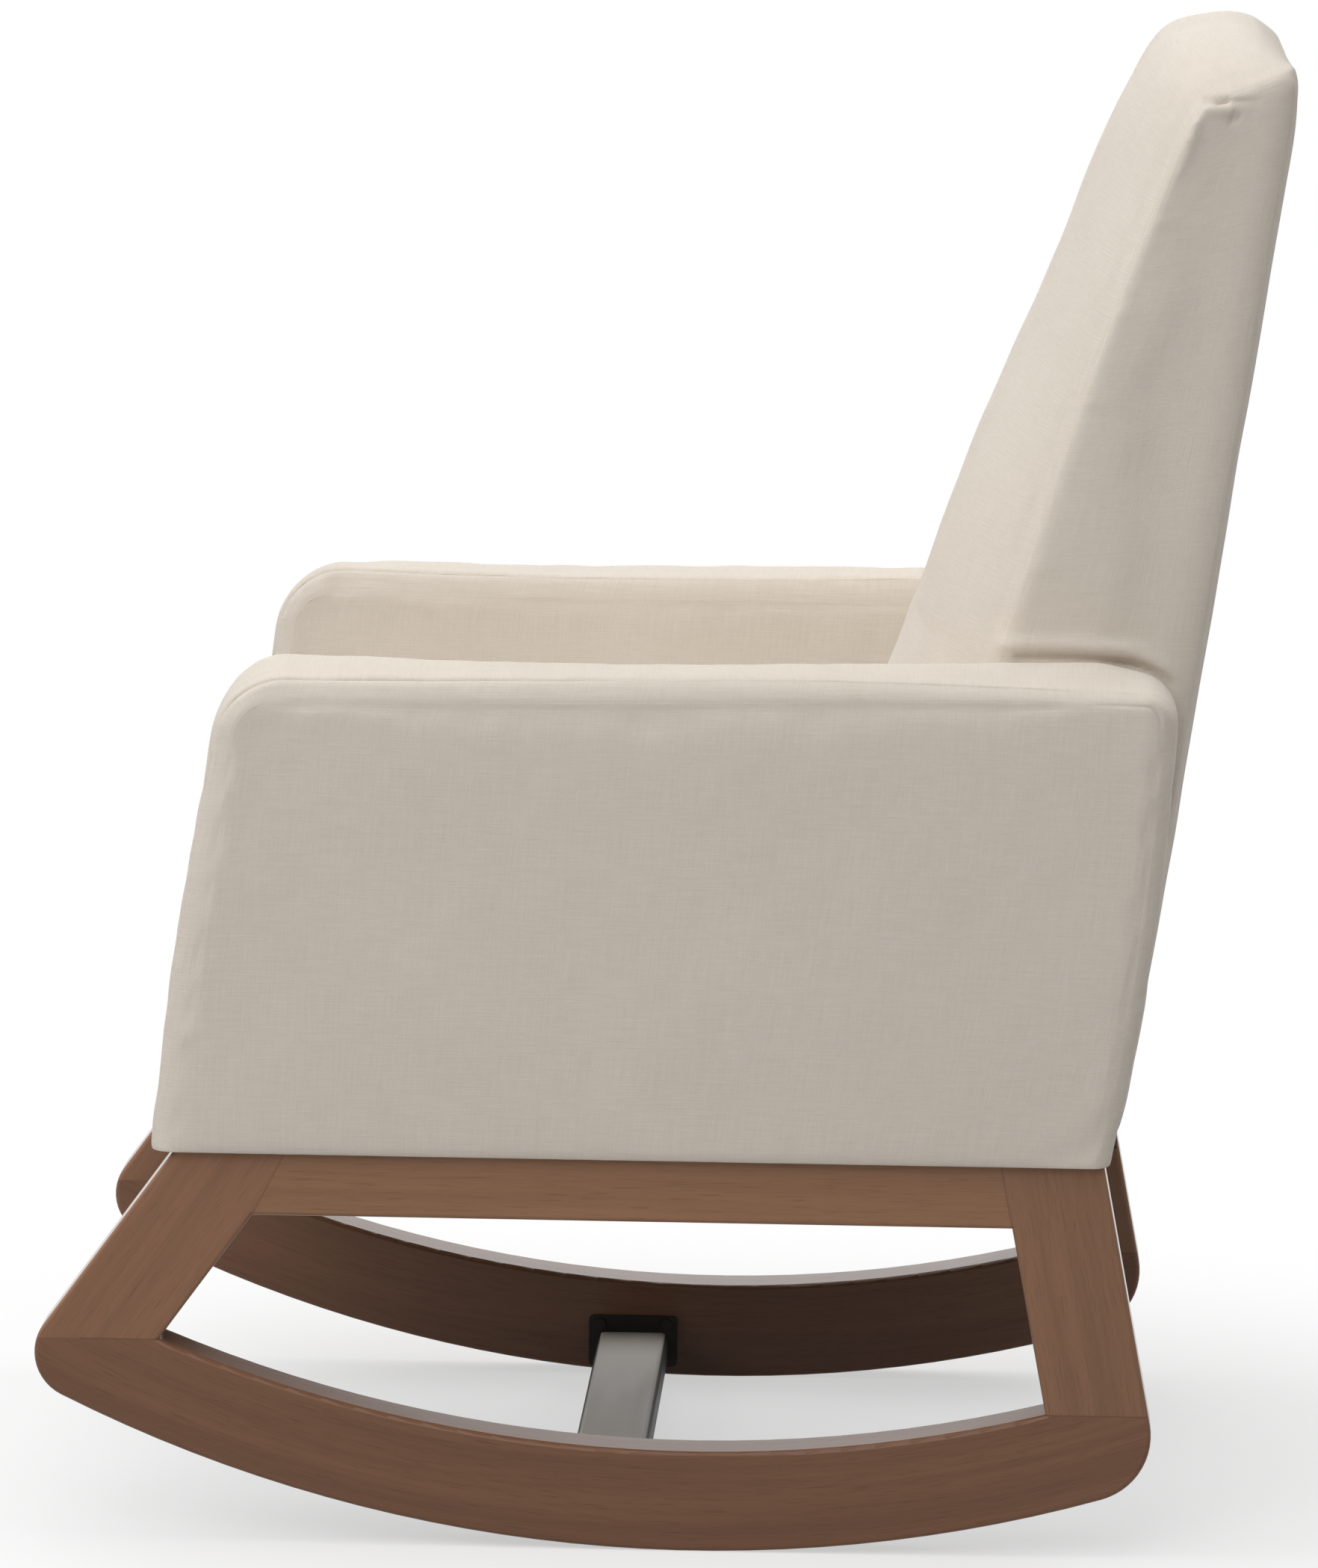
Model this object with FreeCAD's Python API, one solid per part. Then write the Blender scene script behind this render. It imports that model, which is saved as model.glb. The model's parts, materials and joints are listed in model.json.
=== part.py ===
import FreeCAD, Part
import math
import os

# An upholstered rocking chair: two curved wooden side frames joined by a steel stretcher carry two
# padded arms, a sprung seat box with a loose cushion, and a tall leaning back with a crowned pad.
#
# Millimetres, +Z up. The chair faces -Y and +X is the sitter's left. The sizes below are written
# with y = 0 and z = 0 where the runners touch the floor. The last lines move everything along Y,
# so that the middle of the chair's length lies at y = 0.

# ------------------------------------------------------------------ side frames of the base
chair_width = 640.0
frame_inset = 7.5
frame_thickness = 42.0
runner_radius = 950.0
runner_top_radius = 940.0
runner_depth = 67.0
rail_top_z = 263.0
rail_depth = 42.0
rail_end_slant = 27.0
front_post_top_y = -345.0
front_post_lean = 36.0
front_post_width = 67.0
rear_post_top_y = 270.0
rear_post_lean = 10.9
rear_post_width = 67.0
toe_radius = 32.0
heel_radius = 45.0
frame_edge_round = 3.0
dowel_radius = 5.0
dowel_length = 44.0
dowel_fit = 0.05
runner_dowel_pitch = 34.0
rail_dowel_pitch = 18.0

# ------------------------------------------------------------------ stretcher
stretcher_y = -61.0
stretcher_width = 50.0
stretcher_height = 25.0
stretcher_top_z = 32.0
stretcher_wall = 2.0
stretcher_corner = 5.0
plate_thickness = 3.0
plate_side_margin = 7.0
plate_rise = 12.0
plate_corner = 4.0
screw_radius = 2.0
screw_head_radius = 4.0
screw_head_height = 2.5
screw_length = 25.0
screw_fit = 0.1

# ------------------------------------------------------------------ soft layers
fabric = 1.5
nap = 0.25

# ------------------------------------------------------------------ arms
arm_thickness = 80.0
arm_top_z = 583.0
arm_front_foot_y = -357.5
arm_front_lean = 7.9
arm_front_radius = 36.0
arm_rear_foot_y = 275.0
arm_rear_mid_y = 302.0
arm_rear_mid_z = 420.0
arm_rear_top_y = 313.0
arm_rear_radius = 14.0
arm_edge_round = 12.0
arm_least_radius = 1.0
arm_edge_padding = 12.0
arm_side_padding = 8.0
arm_board = 4.0
arm_foot_rail_height = 45.0
arm_top_rail_height = 25.0
arm_front_post_width = 50.0
arm_rear_post_width = 44.0

# ------------------------------------------------------------------ seat box
seat_front_y = -343.0
seat_rail_height = 82.0
seat_rail_thickness = 28.0
seat_side_gap = 0.3
dust_cloth = 0.8
apron_padding = 12.0
deck_padding = 14.0
corner_block_leg = 58.0
corner_block_height = 60.0
corner_block_drop = 8.0
spring_wire_radius = 1.9
spring_pitch = 20.0
spring_bar = 32.0
spring_count = 5
spring_edge_margin = 62.0
clip_length = 22.0
clip_width = 12.0
clip_wall = 1.2
clip_fit = 0.05

# ------------------------------------------------------------------ loose cushion
cushion_thickness = 84.0
cushion_side_gap = 1.2
cushion_front_inset = 13.0
cushion_rear_gap = 1.5
cushion_edge_round = 14.0

# ------------------------------------------------------------------ back
back_side_gap = 0.3
back_rear_foot_y = 281.0
back_rear_lean = 8.6
back_base_front_y = 215.0
back_top_z = 1007.0
back_side_drop = 41.0
back_top_front_radius = 64.0
back_top_rear_radius = 46.0
pad_foot_y = 62.0
pad_mid_z = 700.0
pad_mid_thickness = 178.1
pad_head_drop = 29.0
pad_head_thickness = 103.1
pad_crown_foot = 62.0
pad_crown_head = 43.0
pad_sections = 6
back_roof_rise = 3.0
back_side_padding = 5.0
back_rear_padding = 5.0
back_front_padding = 6.0
back_panel = 15.0
back_frame_drop = 69.0
back_rail_thickness = 20.0
back_rail_height = 55.0
webbing_count = 5
webbing_width = 50.0
webbing_thickness = 2.0

# ------------------------------------------------------------------ bolts
bolt_radius = 4.0
bolt_clearance = 0.3
bolt_head_radius = 7.5
bolt_head_height = 4.5
washer_radius = 9.0
washer_thickness = 1.5
counterbore_fit = 0.5
counterbore_depth = 9.0
nut_flange_radius = 10.0
nut_flange = 1.5
nut_barrel_radius = 5.5
nut_barrel_length = 9.0
nut_bore_clearance = 0.05
bolt_tail = 2.0
frame_bolt_count = 3
frame_bolt_first_y = -180.0
frame_bolt_last_y = 145.0
seat_bolt_margin = 25.0
back_bolt_count = 2
back_bolt_rise = 67.0
back_bolt_pitch = 140.0

V = FreeCAD.Vector
X_AXIS = V(1, 0, 0)
Y_AXIS = V(0, 1, 0)
Z_AXIS = V(0, 0, 1)
# FAR reaches past the whole chair, OVERRUN is how far a cutting shape runs past the faces that it
# cuts, and places closer than TOUCH are one place.
FAR = 2 * max(chair_width, back_top_z, runner_radius)
OVERRUN = 5.0
TOUCH = 0.01
UPRIGHT = 90.0
FLAT = 180.0
parts = {}


# ------------------------------------------------------------------ helpers
def tan(degrees):
    return math.tan(math.radians(degrees))


def cos(degrees):
    return math.cos(math.radians(degrees))


def sin(degrees):
    return math.sin(math.radians(degrees))


def block(x0, x1, y0, y1, z0, z1):
    return Part.makeBox(x1 - x0, y1 - y0, z1 - z0, V(x0, y0, z0))


def line(a, b):
    return Part.LineSegment(V(0, *a), V(0, *b)).toShape()


def arc(a, mid, b):
    return Part.Arc(V(0, *a), V(0, *mid), V(0, *b)).toShape()


def prism(edges, x0, x1):
    """Extrudes a closed outline in the YZ plane from x0 to x1."""
    face = Part.Face(Part.Wire(Part.__sortEdges__(edges)))
    face.translate(V(x0, 0, 0))
    return face.extrude(V(x1 - x0, 0, 0))


def slab(points, x0, x1):
    """Extrudes a polygon of (y, z) points from x0 to x1."""
    corners = list(points) + [points[0]]
    return prism([line(a, b) for a, b in zip(corners, corners[1:])], x0, x1)


def rod(radius, start, direction, length):
    return Part.makeCylinder(radius, length, start, direction)


def edges_along_x(shape, y, z):
    """The edges parallel to X that pass through the point (y, z)."""
    found = []
    for edge in shape.Edges:
        ends = [v.Point for v in edge.Vertexes]
        if len(ends) == 2 and all(math.hypot(p.y - y, p.z - z) < TOUCH for p in ends):
            found.append(edge)
    return found


def mirrored(shape):
    return shape.mirror(V(0, 0, 0), X_AXIS)


def add(name, *solids):
    parts[name] = solids[0] if len(solids) == 1 else Part.makeCompound(list(solids))


def add_pair(name, *solids):
    """Adds a left-hand piece and its mirror image on the right."""
    add("left_" + name, *solids)
    add("right_" + name, *[mirrored(s) for s in solids])


def lean_y(y0, z0, lean, z):
    """The y at height z of a line through (y0, z0) that moves back by lean degrees as it rises."""
    return y0 + (z - z0) * tan(lean)


def on_circle(centre, radius, degrees):
    """The point (y, z) of a circle at an angle counted from +Y towards +Z."""
    return (centre[0] + radius * cos(degrees), centre[1] + radius * sin(degrees))


def meet_circle(y0, z0, lean, centre_z, radius):
    """The lower point (y, z) where a leaning line meets a circle centred over y = 0."""
    t = tan(lean)
    k = y0 - z0 * t
    a = t * t + 1
    b = 2 * k * t - 2 * centre_z
    c = k * k + centre_z * centre_z - radius * radius
    z = (-b - math.sqrt(b * b - 4 * a * c)) / (2 * a)
    return (k + z * t, z)


# ------------------------------------------------------------------ places shared by the parts
frame_out_x = chair_width / 2 - frame_inset
frame_in_x = frame_out_x - frame_thickness
frame_mid_x = (frame_out_x + frame_in_x) / 2
rail_bottom_z = rail_top_z - rail_depth
arm_out_x = chair_width / 2
arm_in_x = arm_out_x - arm_thickness
layer = fabric + nap


def front_outer(z):
    return lean_y(front_post_top_y, rail_top_z, front_post_lean, z)


def front_inner(z):
    return front_outer(z) + front_post_width / cos(front_post_lean)


def rear_outer(z):
    return lean_y(rear_post_top_y, rail_top_z, -rear_post_lean, z)


def rear_inner(z):
    return rear_outer(z) - rear_post_width / cos(rear_post_lean)


# ------------------------------------------------------------------ side frames
top_arc_z = runner_depth + runner_top_radius
toe = meet_circle(front_post_top_y, rail_top_z, front_post_lean, runner_radius, runner_radius)
heel = meet_circle(rear_post_top_y, rail_top_z, -rear_post_lean, runner_radius, runner_radius)
front_corner = meet_circle(
    front_inner(rail_top_z), rail_top_z, front_post_lean, top_arc_z, runner_top_radius)
rear_corner = meet_circle(
    rear_inner(rail_top_z), rail_top_z, -rear_post_lean, top_arc_z, runner_top_radius)
slant_start = (front_inner(rail_bottom_z), rail_bottom_z)


def side_frame():
    """One whole side frame with its window, before it is divided into its members."""
    outline = [
        line((front_outer(rail_top_z), rail_top_z), toe),
        arc(toe, (0, 0), heel),
        line(heel, (rear_outer(rail_top_z), rail_top_z)),
        line((rear_outer(rail_top_z), rail_top_z), (front_outer(rail_top_z), rail_top_z)),
    ]
    body = prism(outline, frame_in_x, frame_out_x)
    body = body.makeFillet(toe_radius, edges_along_x(body, *toe))
    body = body.makeFillet(heel_radius, edges_along_x(body, *heel))
    window_rear = (rear_inner(rail_bottom_z), rail_bottom_z)
    window = [
        line(slant_start, front_corner),
        arc(front_corner, (0, runner_depth), rear_corner),
        line(rear_corner, window_rear),
        line(window_rear, slant_start),
    ]
    body = body.cut(prism(window, frame_in_x - OVERRUN, frame_out_x + OVERRUN))
    rims = []
    for edge in body.Edges:
        box = edge.BoundBox
        if box.XLength < TOUCH and box.ZMin < rail_top_z - TOUCH:
            rims.append(edge)
    return body.makeFillet(frame_edge_round, rims)


def zone(points):
    return slab(points, frame_in_x - OVERRUN, frame_out_x + OVERRUN)


whole_frame = side_frame()
rear_joint_low = (rear_inner(rail_bottom_z), rail_bottom_z)
sky = rail_top_z + OVERRUN
slant_sky = (slant_start[0] + (rail_depth + OVERRUN) * tan(rail_end_slant), sky)
rear_sky = (rear_inner(sky), sky)
front_post = whole_frame.common(zone([
    (-FAR, front_corner[1]), front_corner, slant_start, slant_sky, (-FAR, sky)]))
rear_post = whole_frame.common(zone([
    (FAR, rear_corner[1]), rear_corner, rear_joint_low, rear_sky, (FAR, sky)]))
top_rail = whole_frame.common(zone([slant_start, rear_joint_low, rear_sky, slant_sky]))
runner = whole_frame.common(zone([
    (-FAR, -OVERRUN), (FAR, -OVERRUN), (FAR, rear_corner[1]), (0, rear_corner[1]), (0, front_corner[1]),
    (-FAR, front_corner[1])]))


def dowel_set():
    """The (centre, axis) of each glued dowel across the four joints of a side frame."""
    places = []
    for outer, corner in ((front_outer, front_corner), (rear_outer, rear_corner)):
        middle = (outer(corner[1]) + corner[0]) / 2
        for side in (-1, 1):
            centre = V(frame_mid_x, middle + side * runner_dowel_pitch / 2, corner[1])
            places.append((centre, Z_AXIS))
    middle_z = (rail_top_z + rail_bottom_z) / 2
    for side in (-1, 1):
        z = middle_z + side * rail_dowel_pitch / 2
        front_y = slant_start[0] + (z - rail_bottom_z) * tan(rail_end_slant)
        places.append((V(frame_mid_x, front_y, z), Y_AXIS))
        places.append((V(frame_mid_x, rear_inner(z), z), Y_AXIS))
    return places


dowels = []
for centre, axis in dowel_set():
    start = centre - axis * (dowel_length / 2)
    dowels.append(rod(dowel_radius, start, axis, dowel_length))
    hole = rod(dowel_radius + dowel_fit, start - axis * dowel_fit, axis, dowel_length + 2 * dowel_fit)
    front_post = front_post.cut(hole)
    rear_post = rear_post.cut(hole)
    top_rail = top_rail.cut(hole)
    runner = runner.cut(hole)

# ------------------------------------------------------------------ stretcher
stretcher_mid_z = stretcher_top_z - stretcher_height / 2
tube_end_x = frame_in_x - plate_thickness


def rounded_bar(width, height, corner, x0, x1):
    """A bar along X at the stretcher's place, with rounded long edges."""
    bar = block(
        x0, x1, stretcher_y - width / 2, stretcher_y + width / 2,
        stretcher_mid_z - height / 2, stretcher_mid_z + height / 2)
    long_edges = [e for e in bar.Edges if e.BoundBox.XLength > TOUCH]
    return bar.makeFillet(corner, long_edges)


tube = rounded_bar(stretcher_width, stretcher_height, stretcher_corner, -tube_end_x, tube_end_x)
tube_bore = rounded_bar(
    stretcher_width - 2 * stretcher_wall, stretcher_height - 2 * stretcher_wall,
    stretcher_corner - stretcher_wall, -frame_in_x, frame_in_x)
tube = tube.cut(tube_bore)
plate_half = stretcher_width / 2 + plate_side_margin
plate = block(
    tube_end_x, frame_in_x, stretcher_y - plate_half, stretcher_y + plate_half,
    stretcher_top_z - stretcher_height, stretcher_top_z + plate_rise)
plate = plate.makeFillet(
    plate_corner, [e for e in plate.Edges if e.BoundBox.XLength > TOUCH])
stretcher_screws = []
for side in (-1, 1):
    y = stretcher_y + side * (plate_half - plate_corner - screw_head_radius)
    seat = V(tube_end_x, y, stretcher_top_z + plate_rise / 2)
    head = rod(screw_head_radius, seat - X_AXIS * screw_head_height, X_AXIS, screw_head_height)
    stretcher_screws.append(head.fuse(rod(screw_radius, seat, X_AXIS, screw_length)).removeSplitter())
    hole = rod(screw_radius + screw_fit, seat, X_AXIS, screw_length + screw_fit)
    plate = plate.cut(hole)
    runner = runner.cut(hole)

# ------------------------------------------------------------------ arms


def arm_body(edge_inset, side_inset, z0):
    """
    The arm's shape above z0, drawn in by edge_inset round its outline and by side_inset at its sides.
    """
    top = arm_top_z - edge_inset
    shift = edge_inset / cos(arm_front_lean)
    front_top = (lean_y(arm_front_foot_y, rail_top_z, arm_front_lean, top) + shift, top)
    low_z = rail_top_z - OVERRUN
    front_foot = (lean_y(arm_front_foot_y, rail_top_z, arm_front_lean, low_z) + shift, low_z)
    rear_top = (arm_rear_top_y - edge_inset, top)
    rear_mid = (arm_rear_mid_y - edge_inset, arm_rear_mid_z)
    rear_foot = (arm_rear_foot_y - edge_inset, rail_top_z)
    drop = (rear_foot[0], low_z)
    outline = [
        line(front_foot, front_top), line(front_top, rear_top), arc(rear_top, rear_mid, rear_foot),
        line(rear_foot, drop), line(drop, front_foot)]
    body = prism(outline, arm_in_x + side_inset, arm_out_x - side_inset)
    body = body.cut(block(0, FAR, -FAR, FAR, -FAR, z0))
    front_radius = max(arm_front_radius - edge_inset, arm_least_radius)
    rear_radius = max(arm_rear_radius - edge_inset, arm_least_radius)
    body = body.makeFillet(front_radius, edges_along_x(body, *front_top))
    return body.makeFillet(rear_radius, edges_along_x(body, *rear_top))


def soft_arm(inset):
    """The arm's shape with its upper edges rounded over, for the layers of cloth and padding."""
    z0 = rail_top_z + inset
    body = arm_body(inset, inset, z0)
    rims = []
    for edge in body.Edges:
        box = edge.BoundBox
        if box.XLength < TOUCH and box.ZMax > z0 + TOUCH:
            rims.append(edge)
    return body.makeFillet(arm_edge_round - inset, rims)


arm_pocket_edge = layer + arm_edge_padding
arm_pocket_side = layer + arm_side_padding
arm_core_edge = arm_pocket_edge + nap
arm_core_side = arm_pocket_side + nap
arm_cover = soft_arm(0.0).cut(soft_arm(fabric))
arm_pad = soft_arm(layer).cut(arm_body(arm_pocket_edge, arm_pocket_side, rail_top_z))

core = arm_body(arm_core_edge, arm_core_side, rail_top_z + layer)
core_in_x = arm_in_x + arm_core_side
core_out_x = arm_out_x - arm_core_side
board_in_x = core_in_x + arm_board
board_out_x = core_out_x - arm_board
arm_foot_top_z = rail_top_z + arm_foot_rail_height
arm_rail_z = arm_top_z - arm_core_edge - arm_top_rail_height
inner_board = core.common(block(core_in_x, board_in_x, -FAR, FAR, 0, FAR))
outer_board = core.common(block(board_out_x, core_out_x, -FAR, FAR, 0, FAR))
arm_foot_rail = core.common(block(board_in_x, board_out_x, -FAR, FAR, rail_top_z, arm_foot_top_z))
arm_top_rail = core.common(block(board_in_x, board_out_x, -FAR, FAR, arm_rail_z, FAR))


def arm_front_face(z):
    return lean_y(arm_front_foot_y, rail_top_z, arm_front_lean, z) + arm_core_edge / cos(arm_front_lean)


def arm_rear_post_front(z):
    """The front face of the arm's rear post, parallel to the chord of the arm's rear edge."""
    share = (z - rail_top_z) / (arm_top_z - rail_top_z)
    edge_y = arm_rear_foot_y + share * (arm_rear_top_y - arm_rear_foot_y)
    return edge_y - arm_core_edge - arm_rear_post_width


front_stock = slab([
    (-FAR, arm_foot_top_z), (arm_front_face(arm_foot_top_z) + arm_front_post_width, arm_foot_top_z),
    (arm_front_face(arm_rail_z) + arm_front_post_width, arm_rail_z), (-FAR, arm_rail_z)],
    board_in_x, board_out_x)
rear_stock = slab([
    (FAR, arm_foot_top_z), (arm_rear_post_front(arm_foot_top_z), arm_foot_top_z),
    (arm_rear_post_front(arm_rail_z), arm_rail_z), (FAR, arm_rail_z)],
    board_in_x, board_out_x)
arm_front_post = core.common(front_stock)
arm_rear_post = core.common(rear_stock)

# ------------------------------------------------------------------ seat box
seat_half = arm_in_x - seat_side_gap
seat_rail_z = rail_top_z + dust_cloth
seat_rail_top = seat_rail_z + seat_rail_height
front_rail_y = seat_front_y + layer + apron_padding + nap
front_rail_back = front_rail_y + seat_rail_thickness
rear_rail_back = back_base_front_y - nap
rear_rail_y = rear_rail_back - seat_rail_thickness
side_rail_in = seat_half - seat_rail_thickness
spring_axis_z = seat_rail_top + clip_wall + spring_wire_radius
clip_top = seat_rail_top + 2 * (clip_wall + spring_wire_radius)
deck_pad_z = clip_top + nap
deck_z = deck_pad_z + deck_padding + layer

seat_front_rail = block(-seat_half, seat_half, front_rail_y, front_rail_back, seat_rail_z, seat_rail_top)
seat_rear_rail = block(-seat_half, seat_half, rear_rail_y, rear_rail_back, seat_rail_z, seat_rail_top)
seat_side_rail = block(side_rail_in, seat_half, front_rail_back, rear_rail_y, seat_rail_z, seat_rail_top)
block_top = seat_rail_top - corner_block_drop


def corner_block(y, side):
    """A triangular glue block in a corner of the seat box; side is +1 where the box lies behind y."""
    points = [
        V(side_rail_in, y, block_top), V(side_rail_in - corner_block_leg, y, block_top),
        V(side_rail_in, y + side * corner_block_leg, block_top), V(side_rail_in, y, block_top)]
    return Part.Face(Part.makePolygon(points)).extrude(V(0, 0, -corner_block_height))


left_blocks = [corner_block(front_rail_back, 1), corner_block(rear_rail_y, -1)]
corner_blocks = left_blocks + [mirrored(b) for b in left_blocks]

spring_front_y = (front_rail_y + front_rail_back) / 2
spring_rear_y = (rear_rail_y + rear_rail_back) / 2
spring_turns = round((spring_rear_y - spring_front_y) / spring_pitch)
spring_step = (spring_rear_y - spring_front_y) / spring_turns


def sinuous_spring():
    """A flat zigzag spring: straight bars across the seat joined by half-round bends."""
    bend = spring_step / 2
    path = []
    for turn in range(spring_turns + 1):
        y = spring_front_y + turn * spring_step
        way = 1 if turn % 2 == 0 else -1
        start = V(-way * spring_bar / 2, y, spring_axis_z)
        end = V(way * spring_bar / 2, y, spring_axis_z)
        path.append(Part.LineSegment(start, end).toShape())
        if turn < spring_turns:
            tip = V(way * (spring_bar / 2 + bend), y + bend, spring_axis_z)
            path.append(Part.Arc(end, tip, end + Y_AXIS * spring_step).toShape())
    spine = Part.Wire(path)
    ring = Part.makeCircle(spring_wire_radius, V(-spring_bar / 2, spring_front_y, spring_axis_z), X_AXIS)
    return spine.makePipeShell([Part.Wire([ring])], True, False)


def spring_clip(y):
    """The steel clip that holds one end bar of a spring down on a seat rail."""
    body = block(
        -clip_length / 2, clip_length / 2, y - clip_width / 2, y + clip_width / 2, seat_rail_top, clip_top)
    bore_start = V(-clip_length, y, spring_axis_z)
    return body.cut(rod(spring_wire_radius + clip_fit, bore_start, X_AXIS, 2 * clip_length))


one_spring = sinuous_spring()
springs = []
clips = []
spring_span = 2 * (seat_half - spring_edge_margin)
for number in range(spring_count):
    x = -spring_span / 2 + number * spring_span / (spring_count - 1)
    springs.append(one_spring.translated(V(x, 0, 0)))
    for y in (spring_front_y, spring_rear_y):
        clips.append(spring_clip(y).translated(V(x, 0, 0)))

deck_front_y = seat_front_y + layer
apron_pad = block(
    -seat_half, seat_half, deck_front_y, deck_front_y + apron_padding, seat_rail_z,
    deck_pad_z + deck_padding)
deck_pad = block(
    -seat_half, seat_half, deck_front_y + apron_padding + nap, rear_rail_back, deck_pad_z,
    deck_pad_z + deck_padding)
deck_cover = block(-seat_half, seat_half, seat_front_y, rear_rail_back, rail_top_z, deck_z)
deck_cover = deck_cover.cut(block(
    -FAR, FAR, seat_front_y + fabric, FAR, 0, deck_z - fabric))

# ------------------------------------------------------------------ loose cushion
cushion_half = arm_in_x - cushion_side_gap
cushion_z = deck_z + nap
cushion_front = seat_front_y + cushion_front_inset
cushion_back = pad_foot_y - cushion_rear_gap


def cushion_body(inset):
    body = block(
        -cushion_half + inset, cushion_half - inset, cushion_front + inset, cushion_back - inset,
        cushion_z + inset, cushion_z + cushion_thickness - inset)
    return body.makeFillet(cushion_edge_round - inset, body.Edges)


cushion_cover = cushion_body(0.0).cut(cushion_body(fabric))
cushion_core = cushion_body(layer)

# ------------------------------------------------------------------ back
back_half = arm_in_x - back_side_gap
back_side_top_z = back_top_z - back_side_drop
back_frame_top_z = back_top_z - back_frame_drop
pad_foot_z = deck_z + nap
pad_head_z = back_top_z - pad_head_drop


def back_rear(z):
    return lean_y(back_rear_foot_y, rail_top_z, back_rear_lean, z)


pad_mid_y = back_rear(pad_mid_z) - pad_mid_thickness
pad_head_y = back_rear(pad_head_z) - pad_head_thickness


def pad_crown(z):
    """The front of the pad on the chair's middle plane: a smooth curve through three places."""
    knots = ((pad_foot_y, pad_foot_z), (pad_mid_y, pad_mid_z), (pad_head_y, pad_head_z))
    total = 0.0
    for i, (y, here) in enumerate(knots):
        weight = 1.0
        for j, (_, other) in enumerate(knots):
            if i != j:
                weight *= (z - other) / (here - other)
        total += weight * y
    return total


def pad_seam(z):
    """The side seam of the back, where the crowned pad meets the side panel."""
    share = (z - pad_foot_z) / (pad_head_z - pad_foot_z)
    return pad_crown(z) + pad_crown_foot + share * (pad_crown_head - pad_crown_foot)


def back_section(z, inset):
    """The plan of the back at height z: flat behind and at the sides, crowned in front."""
    half = back_half - inset
    rear = back_rear(z) - inset
    seam = pad_seam(z) + inset
    crown = pad_crown(z) + inset
    return Part.Wire([
        Part.LineSegment(V(half, seam, z), V(half, rear, z)).toShape(),
        Part.LineSegment(V(half, rear, z), V(-half, rear, z)).toShape(),
        Part.LineSegment(V(-half, rear, z), V(-half, seam, z)).toShape(),
        Part.Arc(V(-half, seam, z), V(0, crown, z), V(half, seam, z)).toShape(),
    ])


def back_body(inset, below=0.0):
    """The back's outer shape, drawn in by inset on every side but its open foot."""
    foot = pad_foot_z + inset
    top = back_top_z + OVERRUN
    levels = [foot + (top - foot) * step / (pad_sections - 1) for step in range(pad_sections)]
    body = Part.makeLoft([back_section(z, inset) for z in levels], True, False)
    rear_z = back_top_z - back_top_rear_radius
    crest_y = back_rear(rear_z) - back_top_rear_radius
    slope = math.degrees(math.atan2(pad_crown(back_top_z) - pad_crown(pad_head_z), pad_head_drop))
    front_centre = (crest_y, back_top_z - back_top_front_radius)
    front_radius = back_top_front_radius - inset
    rear_centre = (crest_y, rear_z)
    rear_radius = back_top_rear_radius - inset
    touch = on_circle(front_centre, front_radius, FLAT - slope)
    front_mid = on_circle(front_centre, front_radius, FLAT - (slope + UPRIGHT) / 2)
    crest = on_circle(front_centre, front_radius, UPRIGHT)
    rear_mid = on_circle(rear_centre, rear_radius, UPRIGHT / 2)
    rear_end = on_circle(rear_centre, rear_radius, 0)
    low = rail_top_z - OVERRUN
    top_profile = prism([
        line((lean_y(*touch, slope, low), low), touch), arc(touch, front_mid, crest),
        arc(crest, rear_mid, rear_end), line(rear_end, (FAR, rear_z)), line((FAR, rear_z), (FAR, low)),
        line((FAR, low), (lean_y(*touch, slope, low), low))], -FAR, FAR)
    body = body.common(top_profile)
    side_z = back_side_top_z - inset
    peak_z = back_top_z + back_roof_rise - inset
    roof = Part.Wire([
        Part.Arc(V(-back_half, -FAR, side_z), V(0, -FAR, peak_z), V(back_half, -FAR, side_z)).toShape(),
        Part.LineSegment(V(back_half, -FAR, side_z), V(back_half, -FAR, low)).toShape(),
        Part.LineSegment(V(back_half, -FAR, low), V(-back_half, -FAR, low)).toShape(),
        Part.LineSegment(V(-back_half, -FAR, low), V(-back_half, -FAR, side_z)).toShape(),
    ])
    body = body.common(Part.Face(roof).extrude(V(0, 2 * FAR, 0)))
    base_z = rail_top_z - below
    join_z = foot + TOUCH
    base = slab([
        (back_base_front_y + inset, base_z), (back_rear(base_z) - inset, base_z),
        (back_rear(join_z) - inset, join_z), (back_base_front_y + inset, join_z)],
        -back_half + inset, back_half - inset)
    return body.fuse(base).removeSplitter()


back_cover = back_body(0.0).cut(back_body(fabric, below=OVERRUN))
panel_out_x = back_half - layer - back_side_padding - nap
panel_in_x = panel_out_x - back_panel
frame_rear_inset = layer + back_rear_padding + nap
web_front_low = pad_seam(pad_foot_z) + layer + back_front_padding + nap
web_front_high = pad_seam(back_frame_top_z) + layer + back_front_padding + nap
web_lean = math.degrees(math.atan2(web_front_high - web_front_low, back_frame_top_z - pad_foot_z))
web_shift = webbing_thickness / cos(web_lean)
frame_foot_z = pad_foot_z + layer + nap
frame_foot_y = back_base_front_y + layer + back_front_padding + nap


def back_frame_front(z):
    """The front edge of the back's side panels."""
    return lean_y(web_front_low, pad_foot_z, web_lean, z) + web_shift


def frame_outline(grow, below=0.0):
    """The side view of the back's wooden frame, grown by the given clearance."""
    base_z = rail_top_z - below
    top_z = back_frame_top_z + grow
    foot_z = frame_foot_z - grow
    return [
        (frame_foot_y - grow, base_z),
        (back_rear(base_z) - frame_rear_inset + grow, base_z),
        (back_rear(top_z) - frame_rear_inset + grow, top_z),
        (back_frame_front(top_z) - grow, top_z),
        (back_frame_front(foot_z) - grow, foot_z),
        (frame_foot_y - grow, foot_z),
    ]


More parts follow.
